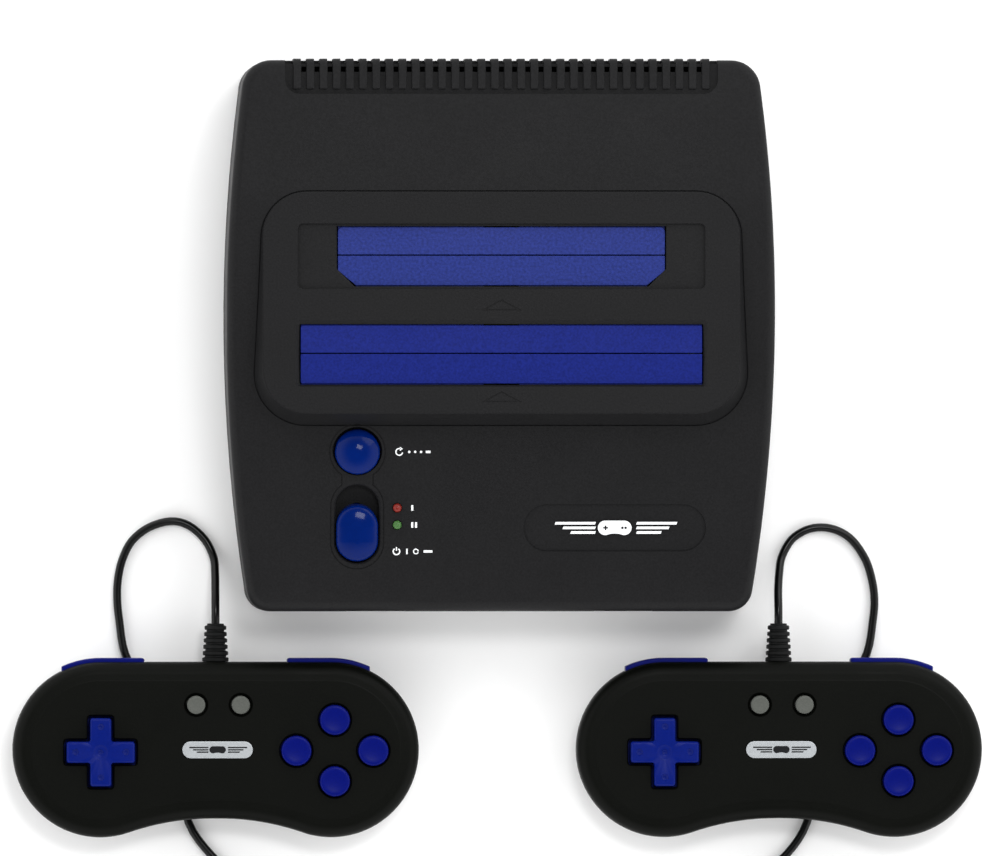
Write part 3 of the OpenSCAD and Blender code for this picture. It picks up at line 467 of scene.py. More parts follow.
def console_half():
    """Points (x, y, normal x, normal y) of the console's right half, from the front edge round to the rear."""
    centre = CONSOLE_W / 2 - SIDE_R
    out, ends = [], []
    for r, cy in ((FRONT_CORNER, -HALF_D + FRONT_CORNER), (REAR_CORNER, HALF_D - REAR_CORNER)):
        cx = centre + math.sqrt((SIDE_R - r) ** 2 - (cy - WIDEST_Y) ** 2)
        ends.append((cx, cy, r, math.degrees(math.atan2(cy - WIDEST_Y, cx - centre))))
    (fx, fy, fr, fa), (rx, ry, rr, ra) = ends
    front, side, rear = (fx, fy, fr, -90, fa, 10), (centre, WIDEST_Y, SIDE_R, fa, ra, 48), (rx, ry, rr, ra, 90, 10)
    for cx, cy, r, a0, a1, n in (front, side, rear):
        for x, y in arc(cx, cy, r, a0, a1, n)[1 if out else 0 :]:
            out.append((x, y, (x - cx) / r, (y - cy) / r))
    return out


def outline_ring(half, inset, height):
    """A mirrored ring through a half outline moved inwards; height is a number or a function of y."""
    right = [(x - nx * inset, y - ny * inset) for x, y, nx, ny in half]
    left = [(-x, y) for x, y in reversed(right) if abs(x) > 1e-6]
    return [(x, y, height(y) if callable(height) else height) for x, y in right + left]


CONSOLE_HALF = console_half()
TOP_ROUND = 3.2


def shell_ring(inset, height):
    return outline_ring(CONSOLE_HALF, inset, height)


def slab(low, high, x=100):
    """Everything between two heights above the shown top."""
    ys = [-98 + 196 * k / 98 for k in range(99)]
    corners = ((0, -1), (0, 1), (1, 1), (1, -1))
    return loft([[(sx * x, y, skin_z(y) + (low if k else high)) for k, sx in corners] for y in ys])


def platform(grow):
    """The raised platform: its sides slope outwards, and its rear edge hardly stands up."""
    draft = math.tan(math.radians(23))
    rings = []
    for inset, z in ((-16 * draft, REAR_H - 16), (0, REAR_H - 0.45), (0.12, REAR_H - 0.15), (0.5, REAR_H)):
        i = inset - grow
        w, d = PLATFORM_W - 2 * i, PLATFORM_D - 2 * i
        rings.append(at_z(rrect(w, d, PLATFORM_R - i, 0, PLATFORM_Y, 12), z))
    return loft(rings)


def slot_plan(w, d, key, y, grow=0):
    w, d = w / 2 + grow, d / 2 + grow
    return [(-w + key, y - d), (w - key, y - d), (w, y - d + key), (w, y + d), (-w, y + d), (-w, y - d + key)]


def slot_opening(y, w, key, floor):
    """An opening with a softened rim at floor height."""
    steps = ((0.05, 30), (0.05, floor - 0.35), (0.45, floor + 0.05), (0.45, 60))
    return stacked(lambda g: slot_plan(w, SLOT_D, key, y, g), steps)


def well(y, w, sink):
    depth = SLOT_D + 2 * (HINGE_OUT + KNUCKLE_R + 0.2)
    roof = REAR_H - sink - HINGE_DOWN + KNUCKLE_R + 0.2
    return block(-w / 2 - 0.05, w / 2 + 0.05, y - depth / 2 - 0.05, y + depth / 2 + 0.05, 30, roof)


def triangle(y, inset):
    """An arrowhead's plan, 14 mm wide and 3.7 mm high, moved inwards by inset."""
    low, high, half = y - 1.85, y + 1.85, 7
    side = math.atan2(high - low, half)
    x = half - inset / math.tan(side / 2)
    return [(-x, low + inset), (x, low + inset), (0, high - inset / math.cos(side))]


def make_shell():
    lift = [TOP_ROUND * (1 - math.cos(math.radians(15 * k))) for k in range(7)]
    rise = [TOP_ROUND * math.sin(math.radians(15 * k)) for k in range(7)]
    rings = [shell_ring(0.3, SPLIT_Z + 0.05), shell_ring(0, SPLIT_Z + 0.45)]
    rings += [shell_ring(i, lambda y, h=h: skin_z(y) - TOP_ROUND + h) for i, h in zip(lift, rise)]
    body = loft(rings, strips=True)
    body = cut(body, both(platform(0.42), slab(-0.55, 12)))
    body = add(body, platform(0))
    hollow = [shell_ring(WALL, SPLIT_Z - 1), shell_ring(WALL, lambda y: skin_z(y) - WALL)]
    body = cut(body, loft(hollow, strips=True))
    # the sunk panel of the rear slot, the two openings and the wells under them
    panel_z = REAR_H - 1.2
    panel = stacked(
        lambda g: rrect(PANEL_W + 2 * g, PANEL_D + 2 * g, 1.7 + g, 0, REAR_SLOT_Y),
        ((0, panel_z), (0, REAR_H - 0.3), (0.35, REAR_H + 0.05), (0.35, 60)),
    )
    rear = slot_opening(REAR_SLOT_Y, REAR_SLOT_W, 6, panel_z)
    body = cut(body, panel, rear, slot_opening(FRONT_SLOT_Y, FRONT_SLOT_W, 0.5, REAR_H))
    sloped = ((0.05, 0, REAR_H - 1.3, 0.6), (2.3, 0.45, REAR_H + 0.05, 1.6), (2.3, 0.45, 60, 1.6))
    rim = loft([
        at_z(rrect(FRONT_SLOT_W + 1.3 * g, SLOT_D + g, r, 0, FRONT_SLOT_Y + dy), z) for g, dy, z, r in sloped
    ])
    rear = well(REAR_SLOT_Y, REAR_SLOT_W, REAR_SINK)
    body = cut(body, rim, rear, well(FRONT_SLOT_Y, FRONT_SLOT_W, FRONT_SINK))
    # vent band: a sunk strip over the rear edge, with a hole through it in each gap
    band = prism(rrect(146.8, 30, 5, 0, HALF_D - 11.5 + 15), MAIN_H - 1.5, 60)
    back = block(-73.4, 73.4, HALF_D - 1.2, HALF_D + 3, 40, MAIN_H - 0.5)
    gaps = joined(*[block(x - 0.8, x + 0.8, HALF_D - 4, HALF_D - 2.2, 48, 60) for x in VENT_GAPS])
    body = cut(body, band, back, gaps)
    # slider's tray, sunk along the slope
    tilt = Matrix.Translation((CONTROL_X, SLIDER_Y, top_z(SLIDER_Y)))
    tilt = tilt @ Matrix.Rotation(math.radians(SLOPE), 4, "X")
    tray = moved(prism(stadium(14.8 + 3.2, 26.9 + 3.2), -6.8, -0.8), tilt)
    well_rings = ((0, -5), (0, -0.9), (0.5, -0.35), (0.5, 9))
    sunk = moved(loft([at_z(stadium(14.8 + 2 * g, 26.9 + 2 * g), z) for g, z in well_rings]), tilt)
    body = cut(add(body, tray), sunk, moved(prism(stadium(5, 13.4), -20, 0), tilt))
    # reset button's hole with a softened rim, and the lamps' holes
    z = top_z(RESET_Y)
    ring = stacked(
        lambda g: circle(8 + g, 72, CONTROL_X, RESET_Y), ((0, 30), (0, z - 1.2), (0.5, z - 0.3), (0.5, z + 5))
    )
    lamps = joined(*[prism(circle(1.7, 32, LED_X, y), 30, 60) for y in LED_YS])
    ports = joined(*[block(s * 42 - 10, s * 42 + 10, -HALF_D - 1, -HALF_D + 4, 24, 35) for s in (-1, 1)])
    jacks = block(-37, 37, HALF_D - 9, HALF_D + 1, 24, 37)
    body = cut(body, ring, lamps, ports, jacks)
    # a fine line round the controls, and the badge's shallow bed
    line_at = lambda g: add(
        prism(circle(9.4 + g, 72, CONTROL_X, RESET_Y), 30, 60),
        block(CONTROL_X - 5.3 - g, CONTROL_X + 5.3 + g, SLIDER_Y, RESET_Y, 31, 59),
        prism(stadium(18 + 2 * g, 30.2 + 2 * g, CONTROL_X, SLIDER_Y), 32, 58),
    )
    line = both(cut(line_at(0.2), line_at(-0.2)), slab(-0.25, 3))
    bed = both(prism(stadium(62, 16, BADGE_X, BADGE_Y), 30, 60), slab(-0.5, 3))
    # engraved arrows in front of both slots
    arrows = [
        cut(prism(triangle(y, 0), REAR_H - 0.2, 60), prism(triangle(y, 0.45), REAR_H - 1, 61)) for y in ARROW_YS
    ]
    return cut(body, line, bed, *arrows)


VENT_PITCH, VENT_COUNT = 4.47, 31
VENT_GAPS = [(k - (VENT_COUNT - 1) / 2) * VENT_PITCH for k in range(VENT_COUNT)]

piece("console_shell", make_shell(), "root", SHELL, AT_CONSOLE, ["upper_shell"])

# ribs over the rear edge
TOP, BACK = MAIN_H - 0.1, HALF_D + 0.5
RIB = [(HALF_D - 9.8, TOP - 1.6), (HALF_D - 9.8, TOP - 0.3), (HALF_D - 9.5, TOP)]
RIB += [(y, z) for y, z in reversed(arc(BACK - 2.6, TOP - 2.6, 2.6, 0, 90, 6))]
RIB += [(BACK, 40.4), (BACK - 0.3, 40.1), (HALF_D - 1.25, 40.1)]
RIB += [(HALF_D - 1.25, TOP - 3.2), (HALF_D - 2.6, TOP - 1.6)]
RIB_XS = [(k - VENT_COUNT / 2) * VENT_PITCH for k in range(VENT_COUNT + 1)]
ribs = joined(*[along_x(RIB, x - 1.28, x + 1.28) for x in RIB_XS])
piece("vent_ribs", ribs, "root", SHELL, AT_CONSOLE, bevel=0.3)

# ---------- slot flaps ----------


def leaf(w, reach, key, round_r, fall):
    """One leaf with its hinge axis on X, reaching towards +Y. Its plate falls towards the hinge."""
    start, thick = HINGE_OUT + 0.35, 1.4
    half = w / 2 - 0.35
    if key:
        near = [(-half, start + 5), (-half + 6.1, start), (half - 6.1, start), (half, start + 5)]
    else:
        near = arc(-half + round_r, start + round_r, round_r, 180, 270, 6)
        near += arc(half - round_r, start + round_r, round_r, 270, 360, 6)
    plan = near + arc(half - 0.3, reach - 0.3, 0.3, 0, 90, 3) + arc(-half + 0.3, reach - 0.3, 0.3, 90, 180, 3)
    top = lambda y: HINGE_DOWN - fall * (reach - y) / (reach - start)
    plate = loft([[(x, y, top(y) - thick) for x, y in plan], [(x, y, top(y)) for x, y in plan]])
    arm_x = half - key
    low = HINGE_DOWN - thick - fall
    arm = [(0, -1.5), (0, 1.5), (2.7, 1.5), (3.4, low + 0.3), (6, low + 0.2), (3, -0.2), (1, -1.5)]
    arms = [along_x(arm, *sorted((s * 6, s * arm_x))) for s in (-1, 1)]
    knuckles = [rod_x(KNUCKLE_R, *sorted((s * 6.02, s * (arm_x - 0.02)))) for s in (-1, 1)]
    return joined(plate, *arms, *knuckles)


HALF_TURN = Matrix.Rotation(math.pi, 4, "Z")
for slot_name, slot_y, w, sink, fall, key in (
    ("rear_slot", REAR_SLOT_Y, REAR_SLOT_W, REAR_SINK, 0.15, 6),
    ("front_slot", FRONT_SLOT_Y, FRONT_SLOT_W, FRONT_SINK, 0.42, 0),
):
    for end, s in (("back", 1), ("front", -1)):
        name = f"{slot_name}_{end}_flap"
        reach = SLOT_D / 2 + HINGE_OUT - 0.2 - s * 0.4
        mesh = leaf(w, reach, key if s < 0 else 0, 1.7 if key else 0.6, fall)
        place = (0, CONSOLE_Y + slot_y + s * (SLOT_D / 2 + HINGE_OUT), REAR_H - sink - HINGE_DOWN)
        mat = FLAP if key else FLAP_SMOOTH
        turned = HALF_TURN if s > 0 else None
        piece(name + "_leaf", mesh, name, mat, place, [name], bevel=0.22, matrix=turned)

# ---------- console controls ----------

z = top_z(RESET_Y) + 2.6
dome = 14
edge = 7.65
cap = [(0, z)] + [(r, z - dome + math.sqrt(dome**2 - r**2)) for r in (0.8 * k for k in range(1, 9))]
cap += [(6.95, z - 1.93), (7.25, z - 2.2), (7.48, z - 2.55), (7.6, z - 2.95), (edge, z - 3.5), (edge, 37.4)]
cap += [(edge + 1.5, 37.4), (edge + 1.5, 36), (2, 36), (2, 28.2), (0, 28.2)]
place = (CONTROL_X, CONSOLE_Y + RESET_Y, 0)
piece("reset_dome", lathe(cap, 96), "reset_button", RESET, place, ["reset_button"])


def crowned(outline, insets, height):
    """Rings that step inwards by (inset, drop) under a crowned height(x, y)."""
    return [[(x, y, height(x, y) - drop) for x, y in outline(i)] for i, drop in insets]


def knob_height(x, y):
    return 2.2 - 24 + math.sqrt(24**2 - x * x - y * y)


KNOB_W, KNOB_D, KNOB_Y = 14.2, 19.3, -3.2
edge_steps = [(0, 1.1), (0.08, 0.72), (0.3, 0.36), (0.65, 0.12), (1.1, 0.02), (1.8, 0)]
edge_steps += [(k * 0.55 + 1.8, 0) for k in range(1, 10)]
knob_rings = [at_z(stadium(KNOB_W, KNOB_D), -4.6)]
knob_rings += crowned(lambda i: stadium(KNOB_W - 2 * i, KNOB_D - 2 * i), edge_steps, knob_height)
knob = shifted(loft(knob_rings), y=KNOB_Y)
knob = joined(knob, block(-1.5, 1.5, -5.2, -1.2, -15, -4.5))
TILT = Matrix.Rotation(math.radians(SLOPE), 4, "X")
place = (CONTROL_X, CONSOLE_Y + SLIDER_Y, top_z(SLIDER_Y))
piece("power_knob", knob, "power_slider", KNOB, place, ["power_slider"], matrix=TILT)

# lamps: domed lenses on their leads
for y, mat, name in zip(LED_YS, (RED, GREEN), ("red_lamp", "green_lamp")):
    z = top_z(y)
    dome = [(0, 1.0), (0.5, 0.93), (0.95, 0.72), (1.25, 0.42), (1.42, 0.05), (1.5, -0.4)]
    dome += [(1.5, -3.4), (1.9, -3.4), (1.9, -4.4), (0, -4.4)]
    lens = lathe([(r, z + h) for r, h in dome], 40)
    leads = [prism(circle(0.3, 12, s * 0.7), 21.6, z - 4.3) for s in (-1, 1)]
    stood = ["status_leds"] if name == "red_lamp" else []
    piece(name, joined(lens, *leads), "root", mat, (LED_X, CONSOLE_Y + y, 0), stood)

# ---------- printed marks on the console, each a thin film on the falling top ----------

FILM = 0.06


def stroke(points, width):
    """A flat ribbon of one width along a path, as a closed outline."""
    left, right = [], []
    for i, p in enumerate(points):
        a, b = Vector(points[max(i - 1, 0)]), Vector(points[min(i + 1, len(points) - 1)])
        n = (b - a).normalized().orthogonal() * width / 2
        left.append((p[0] + n.x, p[1] + n.y))
        right.append((p[0] - n.x, p[1] - n.y))
    return left + right[::-1]


def printed(name, outlines, cx, cy, surface, mat=WHITE):
    """Outlines in millimetres about (cx, cy) on the console, as films on its top at that height."""
    films = joined(*[prism(o, -0.05, FILM) for o in outlines])
    matrix = Matrix.Rotation(math.radians(slope_at(cy)), 4, "X")
    piece(name, films, "root", mat, (cx, CONSOLE_Y + cy, surface), matrix=matrix)


def bar(x0, x1, y0, y1):
    return [(x0, y0), (x1, y0), (x1, y1), (x0, y1)]


def slope_at(y):
    return math.degrees(math.atan(skin_z(y + 0.5) - skin_z(y - 0.5)))


def on_top(name, outlines, cx, cy):
    printed(name, outlines, cx, cy, skin_z(cy))


# reset: an arrow bent round on itself, then three dots
bent = stroke(arc(0, 0, 1.15, 60, 350, 24), 0.42)
head = [(0.2, 1.75), (0.2, 0.3), (1.25, 1.05)]
dots = [circle(0.42, 20, x) for x in (3.4, 5.4, 7.4)]
on_top("reset_mark", [bent, head] + dots + [bar(9.0, 10.6, -0.4, 0.4)], -34.4, RESET_Y)
# lamps: one bar and two bars
on_top("first_lamp_mark", [bar(-0.35, 0.35, -0.95, 0.95)], -29.9, LED_YS[0])
on_top("second_lamp_mark", [bar(-0.35, 0.35, -0.95, 0.95), bar(0.95, 1.65, -0.95, 0.95)], -29.9, LED_YS[1])
# power: a broken ring with a bar, then a line and a small open ring for on and off
ring = stroke(arc(0, 0, 1.1, 125, 415, 28), 0.42)
small = stroke(arc(6.6, 0, 0.8, 0, 340, 24), 0.36)
bars = [bar(-0.2, 0.2, 0.25, 1.5), bar(3.3, 3.8, -0.95, 0.95)]
on_top("power_mark", [ring] + bars + [small, bar(9.2, 12.2, -0.4, 0.4)], -35.2, -73.1)


def pictogram(k):
    """A game pad seen from above with stripes on both sides, k times 5 mm high."""
    body = [(x * 0.078 * k, y * 0.078 * k) for x, y, nx, ny in pad_half()]
    body += [(-x, y) for x, y in reversed(body) if abs(x) > 1e-6]
    stripes = []
    for s in (-1, 1):
        for j, (a, b) in enumerate(((6.6, 19.5), (6.6, 17), (6.6, 14.5))):
            y = (1.5 - 1.5 * j) * k
            x0, x1 = sorted((s * a * k, s * b * k))
            lean = ((x0, 0.25, -0.42), (x1, 0.25, -0.42), (x1, 0.55, 0.42), (x0, 0.55, 0.42))
            stripes.append([(x + dx * k, y + dy * k) for x, dx, dy in lean])
    return body, stripes


def pad_half():
    """Points (x, y, normal x, normal y) of a pad's right half, from the front waist round to the rear edge."""
    reach = LOBE_R + WAIST_FILLET
    dx = math.sqrt(reach**2 - (WAIST_Y + WAIST_FILLET) ** 2)
    fx, fy = LOBE_X - dx, -WAIST_Y - WAIST_FILLET
    meet = math.degrees(math.atan2(-fy, dx))
    waist = arc(fx, fy, WAIST_FILLET, 90, meet, 12)
    lobe = arc(LOBE_X, 0, LOBE_R, meet - 180, 90, 64)[1:]
    out = [(0, -WAIST_Y, 0, -1)]
    out += [(x, y, (fx - x) / WAIST_FILLET, (fy - y) / WAIST_FILLET) for x, y in waist]
    out += [(x, y, (x - LOBE_X) / LOBE_R, y / LOBE_R) for x, y in lobe]
    return out + [(0, LOBE_R, 0, 1)]


PAD_HALF = pad_half()


def pad_ring(inset, z):
    return outline_ring(PAD_HALF, inset, z)


badge_body, badge_stripes = pictogram(1.06)
on_top("badge_mark", [badge_body] + badge_stripes, BADGE_X, BADGE_Y)
details = [bar(-3.9, -2.3, -0.25, 0.25), bar(-3.35, -2.85, -0.8, 0.8), circle(0.42, 16, 2.6), circle(0.42, 16, 3.7)]
printed("badge_mark_details", details, BADGE_X, BADGE_Y, skin_z(BADGE_Y) + 0.03, DARK)

# ---------- pads: each mesh is made once, about the pad's own centre, and used on both ----------


def pad_top_rings():
    """The front shell's outside, from the joint up and over its rounded edge to a faint plateau."""
    r, crown = 4.4, 20.78
    rings = [pad_ring(0.35, PAD_SPLIT + 0.02), pad_ring(0.35, PAD_SPLIT + 0.12), pad_ring(0, PAD_SPLIT + 0.4)]
    for k in range(8):
        a = math.radians(90 * k / 7)
        rings.append(pad_ring(0.05 + r * (1 - math.cos(a)), crown - r + r * math.sin(a)))
    return rings + [pad_ring(6.1, crown + 0.02), pad_ring(6.3, PAD_H - 0.1), pad_ring(6.6, PAD_H)]


DPAD_AT, BUTTONS_AT = (-39.3, -0.8), (40.4, -0.3)
BUTTON_STEPS = {"top": (0, 10.45), "left": (-13.1, 0), "right": (13.1, 0), "bottom": (0, -10.45)}
SMALL_Y, SMALL_XS = 15.3, {"select": -6.8, "start": 8.4}
RELIEF_Z = 10.5


def cross(span, arm, r_out, r_in, n=4):
    """A cross with rounded outer and inner corners, counter-clockwise."""
    h, a = span / 2, arm / 2
    quarter = arc(h - r_out, a - r_out, r_out, 0, 90, n) + arc(a + r_in, a + r_in, r_in, 270, 180, n)
    quarter += arc(a - r_out, h - r_out, r_out, 0, 90, n)
    out = []
    for k in range(4):
        c, s = ((1, 0), (0, 1), (-1, 0), (0, -1))[k]
        out += [(x * c - y * s, x * s + y * c) for x, y in quarter]
    return out


def chamfered_hole(outline, depth=0.45):
    """A cutter through the face that opens out by depth at the top; outline(grow) gives its plan."""
    return stacked(outline, ((0, 9), (0, PAD_H - depth), (depth * 0.8, PAD_H + 0.02), (depth * 0.8, PAD_H + 9)))


def windows():
    return joined(*[block(*sorted((s * 24, s * 52.8)), 21.9, 36, 7.7, 16.8) for s in (-1, 1)])


def make_front_shell():
    body = loft(pad_top_rings())
    body = cut(body, loft([pad_ring(2.4, PAD_SPLIT - 1), pad_ring(2.4, 16.5), pad_ring(5, 19)]))
    dx, dy = DPAD_AT
    plus = lambda g: [(x + dx, y + dy) for x, y in cross(24.9 + 2 * g, 8.8 + 2 * g, 1.2, 0.5)]
    holes = [chamfered_hole(plus)]
    bx, by = BUTTONS_AT
    for sx, sy in BUTTON_STEPS.values():
        holes.append(chamfered_hole(lambda g, x=bx + sx, y=by + sy: circle(5.55 + g, 56, x, y), 0.5))
    for x in SMALL_XS.values():
        holes.append(chamfered_hole(lambda g, x=x: circle(3.45 + g, 40, x, SMALL_Y), 0.9))
    holes.append(stacked(
        lambda g: stadium(24.2 + 2 * g, 6 + 2 * g, 0.5, 0),
        ((0, PAD_H - 0.5), (0, PAD_H - 0.15), (0.25, PAD_H + 0.05), (0.25, 30)),
    ))
    body = cut(body, joined(*holes))
    return cut(body, windows(), rod_y(3.3, 20, 34, 0, RELIEF_Z))


SCREWS = ((-56, -15), (56, -15), (-20, 20), (20, 20), (0, -17))


def bowl(inset):
    profile = [(0, inset)]
    for k in range(13):
        a = math.radians(7.5 * k)
        profile.append((10 + (LOBE_R - inset - 10) * math.sin(a), inset + (11 - inset) * (1 - math.cos(a))))
    top = PAD_SPLIT + inset
    if not inset:
        profile += [(LOBE_R, top - 0.35), (LOBE_R - 0.35, top - 0.12), (LOBE_R - 0.35, top)]
    else:
        profile.append((LOBE_R - inset, top))
    return lathe(profile + [(0, top)], 96)


def belly(inset):
    r = 6 - inset
    low = 5 + inset
    rings = []
    for k in range(6):
        a = math.radians(18 * k)
        rings.append(pad_ring(inset + 0.02 + r * (1 - math.sin(a)), low + r * (1 - math.cos(a))))
    if inset:
        rings.append(pad_ring(inset + 0.02, PAD_SPLIT + 1))
    else:
        rings += [pad_ring(i, PAD_SPLIT - dz) for i, dz in ((0.02, 0.35), (0.35, 0.13), (0.35, 0.01))]
    return loft(rings)


def make_back_shell():
    outer, inner = belly(0), belly(2)
    for s in (-1, 1):
        outer = add(outer, shifted(bowl(0), x=s * LOBE_X))
        inner = add(inner, shifted(bowl(2), x=s * LOBE_X))
    body = cut(outer, inner)
    posts = joined(*[prism(circle(3.6, 32, x, y), 3.4 if abs(x) > 40 else 6, 9) for x, y in SCREWS])
    steps = ((2.5, -1), (2.5, 7.5), (1.3, 7.5), (1.3, 20))
    wells = joined(*[stacked(lambda r, x=x, y=y: circle(r, 32, x, y), steps) for x, y in SCREWS])
    return cut(add(body, posts), wells, windows(), rod_y(3.3, 20, 34, 0, RELIEF_Z))


def make_dpad():
    """A rounded cross, dished over its whole width, with a deeper dimple in the middle and one on each arm."""
    r, low, top = 0.95, 15.6, 24
    rings = [at_z(cross(23.2, 7.2, 0.9, 0.7), low)]
    for k in range(6):
        a = math.radians(18 * k)
        i = r * (1 - math.cos(a))
        plan = cross(23.2 - 2 * i, 7.2 - 2 * i, max(0.9 - i, 0.05), 0.7 + i)
        rings.append(at_z(plan, top - r + r * math.sin(a)))
    body = loft(rings)
    body = cut(body, ball(95, 0, 0, top + 95 - 0.55, 96))
    arms = [ball(1.6, 8.6 * x, 8.6 * y, top + 0.95, 24) for x, y in ((1, 0), (-1, 0), (0, 1), (0, -1))]
    dimples = joined(ball(6.2, 0, 0, top + 5.2, 64), *arms)
    body = cut(body, dimples, ball(1.3, 0, 0, top - 0.1, 24))
    # the rocking plate under the shell
    return joined(cut(body, ball(1.62, 0, 0, 15.2, 32)), prism(circle(12.6, 64), 15.61, 16.6))


def round_button(r, top, flange, dish, soft):
    """A round button: a shallow dish inside a rolled rim, and a flange under the shell."""
    rim = r - soft
    profile = [(0, top - dish)] + [(rim * 0.9 * k / 5, top - dish * (1 - (k / 5) ** 2)) for k in range(1, 6)]
    profile += [(rim, top - 0.01)]
    for k in range(1, 6):
        a = math.radians(18 * k)
        profile.append((rim + soft * math.sin(a), top - soft + soft * math.cos(a)))
    return lathe(profile + [(r, 16.7), (r + flange, 16.7), (r + flange, 15.5), (r, 15.5), (r, 14.5), (0, 14.5)], 64)


def make_relief():
    """A ribbed sleeve that narrows along the cord."""
    ridges, long = 6, 13
    pitch = long / ridges
    profile = [(0, -2), (3.2, -2), (3.2, 0)]
    for k in range(ridges):
        r, y = 4.5 - 0.16 * k, k * pitch
        neck = r - 0.85
        profile += [(r - 0.2, y + 0.02), (r, y + 0.25), (r, y + pitch * 0.55), (r - 0.2, y + pitch * 0.65)]
        profile += [(neck, y + pitch * 0.72), (neck, y + pitch * 0.98)]
    profile += [(2.2, long), (0, long)]
    lying = Matrix.Translation((0, LOBE_R, RELIEF_Z)) @ Matrix.Rotation(math.radians(-90), 4, "X")
    return moved(lathe(profile, 40), lying)


def make_plate():
    rings = ((0, 20.55), (0, 21.2), (0.1, 21.28), (0.25, 21.32))
    return loft([at_z(stadium(23.9 - 2 * i, 5.7 - 2 * i, 0.5, 0), z) for i, z in rings])


PLUG_HALF = [(0, 5.6), (9.4, 6.6), (16.4, 15.2), (33, 15.5)]


def plug_ring(z, inset):
    """The moulded body's plan at one height: a narrow neck that widens into the head."""
    side = [(x + (inset if x < 1 else 0) - (inset if x > 32 else 0), y - inset) for x, y in PLUG_HALF]
    return [(x, -y, z) for x, y in side] + [(x, y, z) for x, y in reversed(side)]


def make_plug():
    """A nine-way plug along +X: ribbed boot, body with rounded edges and grip ribs, and a sleeve."""
    high = 6.2
    rings = []
    for sign in (-1, 1):
        angles = [math.radians(18 * k) for k in range(6)]
        steps = [(1.6 * (1 - math.cos(a)), 1.6 * math.sin(a)) for a in angles]
        part = [plug_ring(sign * (high - 1.6 + rise), inset) for inset, rise in steps]
        rings += part[::-1] if sign < 0 else part
    body = loft(rings)
    ridges = [(x, z) for x in (19, 21.4, 23.8, 26.2) for z in (-high, high)]
    body = cut(body, joined(*[block(x, x + 1, -20, 20, z - 0.35, z + 0.35) for x, z in ridges]))
    boot = []
    for k in range(4):
        x, r = -8 + 2 * k, 2.3 + 0.22 * k
        boot += [(r, x), (r, x + 1.2), (r - 0.45, x + 1.3), (r - 0.45, x + 1.95)]
    sleeve = lathe([(0, -8)] + boot + [(3.1, 0.02), (0, 0.02)], 40)
    sleeve = moved(sleeve, Matrix.Rotation(math.radians(90), 4, "Y"))
    turn = Matrix.Rotation(math.radians(90), 4, "Z") @ Matrix.Rotation(math.radians(90), 4, "X")
    steps = ((0, 33.02), (0, 38.6), (0.15, 38.9), (0.4, 39))
    nose = moved(stacked(lambda i: rrect(16.6 - 2 * i, 7.8 - 2 * i, 2 - i, 0, 0), steps), turn)
    pins = [(2.7 * k, 1.4) for k in range(-2, 3)] + [(2.7 * k - 1.35, -1.4) for k in range(-1, 3)]
    return joined(body, sleeve, cut(nose, joined(*[rod_x(0.75, 36.5, 40, y, z) for y, z in pins])))


def make_tie():
    """A soft band round the turns of a coil, wound along Y."""
    band = cut(prism(rrect(20.6, 6.2, 2.6, 0, 0), -3, 3), prism(rrect(19.4, 5.1, 2.1, 0, 0), -9, 9))
    return moved(band, Matrix.Rotation(math.radians(90), 4, "X"))


PLUG_AT, COIL_AT = (24, -96, 6.2), (16.5, -70, 3.12)
mark_body, mark_stripes = pictogram(0.52)
mark_stripes = [[(x * 0.97, y) for x, y in o] for o in mark_stripes]
MARK = joined(*[prism([(x + 0.5, y) for x, y in o], 21.3, 21.36) for o in [mark_body] + mark_stripes])
PAD_MESHES = {
    "front_shell": (make_front_shell(), "black_pad", PAD),
    "back_shell": (make_back_shell(), "black_pad", PAD),
    "dpad": (make_dpad(), "blue_button", DPAD),
    "face_button": (round_button(5.1, 23.5, 1.2, 0.25, 0.75), "blue_button", BUTTON),
    "small_button": (round_button(3.1, 22.4, 1.0, 0.12, 0.6), "grey_button", GREY),
    "strain_relief": (make_relief(), "cord_rubber", SLEEVE),
    "badge": (make_plate(), "badge_silver", SILVER),
    "badge_mark": (MARK, "badge_silver", DARK),
    "plug": (make_plug(), "plug_plastic", PLUG),
    "tie": (make_tie(), "cord_rubber", SLEEVE),
}


def pad_piece(side, name, kind, x=0, y=0, body=None, replaces=None):
    mesh, slot, mat = PAD_MESHES[kind]
    s = -1 if side == "left_pad" else 1
    stood = replaces if replaces is not None else [f"{side}_{name}"]
    return piece(f"{side}_{name}_shown", mesh, body or side, mat, (s * PAD_X + x, -PAD_Y + y, 0), stood)


for side, s in (("left_pad", -1), ("right_pad", 1)):
    mesh, slot, mat = PAD_MESHES["plug"]
    place = (s * (PAD_X + PLUG_AT[0]), PLUG_AT[1] - PAD_Y, PLUG_AT[2])
    turned = HALF_TURN if s < 0 else None
    piece(side + "_moulded_plug", mesh, side, mat, place, [side + "_plug"], matrix=turned)
    mesh, slot, mat = PAD_MESHES["tie"]
    place = (s * (PAD_X + COIL_AT[0]), COIL_AT[1] - PAD_Y, COIL_AT[2])
    piece(side + "_coil_tie", mesh, side, mat, place, bevel=0.2)
    for name in ("front_shell", "back_shell", "strain_relief", "badge"):
        pad_piece(side, name, name)
    pad_piece(side, "badge_mark", "badge_mark", replaces=[])
    pad_piece(side, "dpad", "dpad", *DPAD_AT, body=side + "_dpad")
    for name, (x, y) in BUTTON_STEPS.items():
        name = "button_" + name
        pad_piece(side, name, "face_button", BUTTONS_AT[0] + x, BUTTONS_AT[1] + y, body=f"{side}_{name}")
    for name, x in SMALL_XS.items():
        name += "_button"
        pad_piece(side, name, "small_button", x, SMALL_Y, body=f"{side}_{name}")

# ---------- CAD nodes that stay ----------

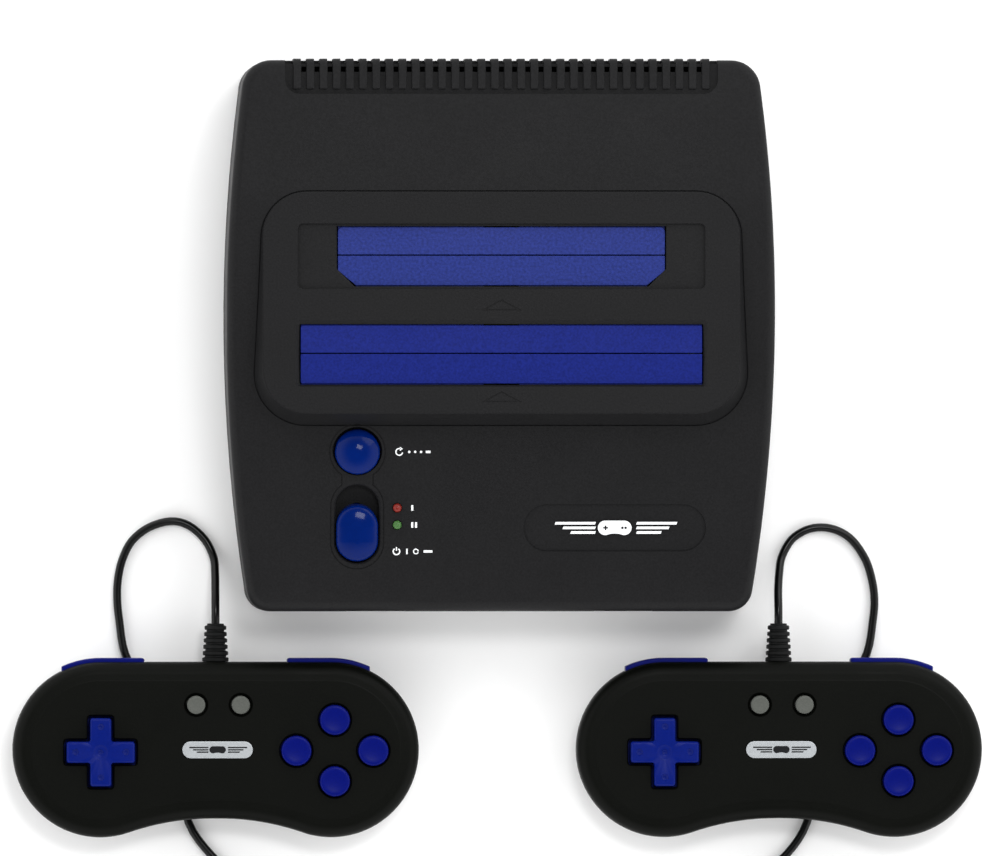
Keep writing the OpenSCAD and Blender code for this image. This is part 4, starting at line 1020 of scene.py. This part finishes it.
KEPT = {
    "lower_shell": (SHELL, 0.5), "slot_wells": (WELL, 0.2), "jack_pocket": (WELL, 0.3), "console_feet": (FOOT, 0.25),
    "console_screws": (STEEL, 0.1), "flap_pins": (STEEL, 0), "flap_springs": (STEEL, 0),
    "rear_cartridge_connector": (BLOCK, 0.3), "front_cartridge_connector": (BLOCK, 0.3), "main_board": (BOARD, 0),
    "board_chips": (CHIP, 0.15), "board_switches": (CHIP, 0.15), "rear_jacks": (NICKEL, 0.2),
    "controller_ports": (TIN, 0.15),
}
PAD_KEPT = {
    "dpad_pivot": (STEEL, 0), "shoulder_left": (BUTTON, 0.9), "shoulder_right": (BUTTON, 0.9), "board": (BOARD, 0),
    "rubber_pads": (DOME, 0.15), "screws": (STEEL, 0.08),
}
for side in ("left_pad", "right_pad"):
    KEPT.update({f"{side}_{name}": kept for name, kept in PAD_KEPT.items()})
for name, (mat, soft) in KEPT.items():
    finish(nodes[name], mat, soft, weld=True)

# ---------- floor and light ----------


def area(name, x, y, z, size, watts):
    data = bpy.data.lights.new(name, "AREA")
    data.shape = "RECTANGLE"
    data.size, data.size_y = size
    data.energy = watts
    o = bpy.data.objects.new(name, data)
    o.location = (x, y, z)
    o.rotation_euler = (-Vector((x, y, z))).to_track_quat("-Z", "Y").to_euler()
    o.visible_camera = False
    scene.collection.objects.link(o)


floor = bpy.data.objects.new("floor", mesh_of([(-4, -4, 0), (4, -4, 0), (4, 4, 0), (-4, 4, 0)], [(0, 1, 2, 3)]))
PAINT = material("floor_paint", (247, 247, 247), 0.9, grain=60, bump=0, spread=0.004, specular=0.1)
floor.data.materials.append(PAINT)
scene.collection.objects.link(floor)

area("key", 0.9, 1.0, 1.2, (0.9, 0.9), 6)
area("highlight", 0.13, 0.36, 1.5, (0.4, 0.27), 6)
world = bpy.data.worlds.new("studio")
world.use_nodes = True
tree = world.node_tree
around = tree.nodes.new("ShaderNodeTexCoord")
height = tree.nodes.new("ShaderNodeSeparateXYZ")
sky = tree.nodes.new("ShaderNodeValToRGB")  # walls bright, ceiling dark, so that flat tops stay dark
sky.color_ramp.interpolation = "EASE"
sky.color_ramp.elements[0].position, sky.color_ramp.elements[1].position = 0.62, 0.93
sky.color_ramp.elements[0].color, sky.color_ramp.elements[1].color = (1, 1, 1, 1), (0.1, 0.1, 0.1, 1)
tree.links.new(around.outputs["Generated"], height.inputs["Vector"])
tree.links.new(height.outputs["Z"], sky.inputs["Fac"])
tree.links.new(sky.outputs["Color"], tree.nodes["Background"].inputs["Color"])
tree.nodes["Background"].inputs["Strength"].default_value = 2.1
scene.world = world
scene.view_settings.view_transform = "Standard"
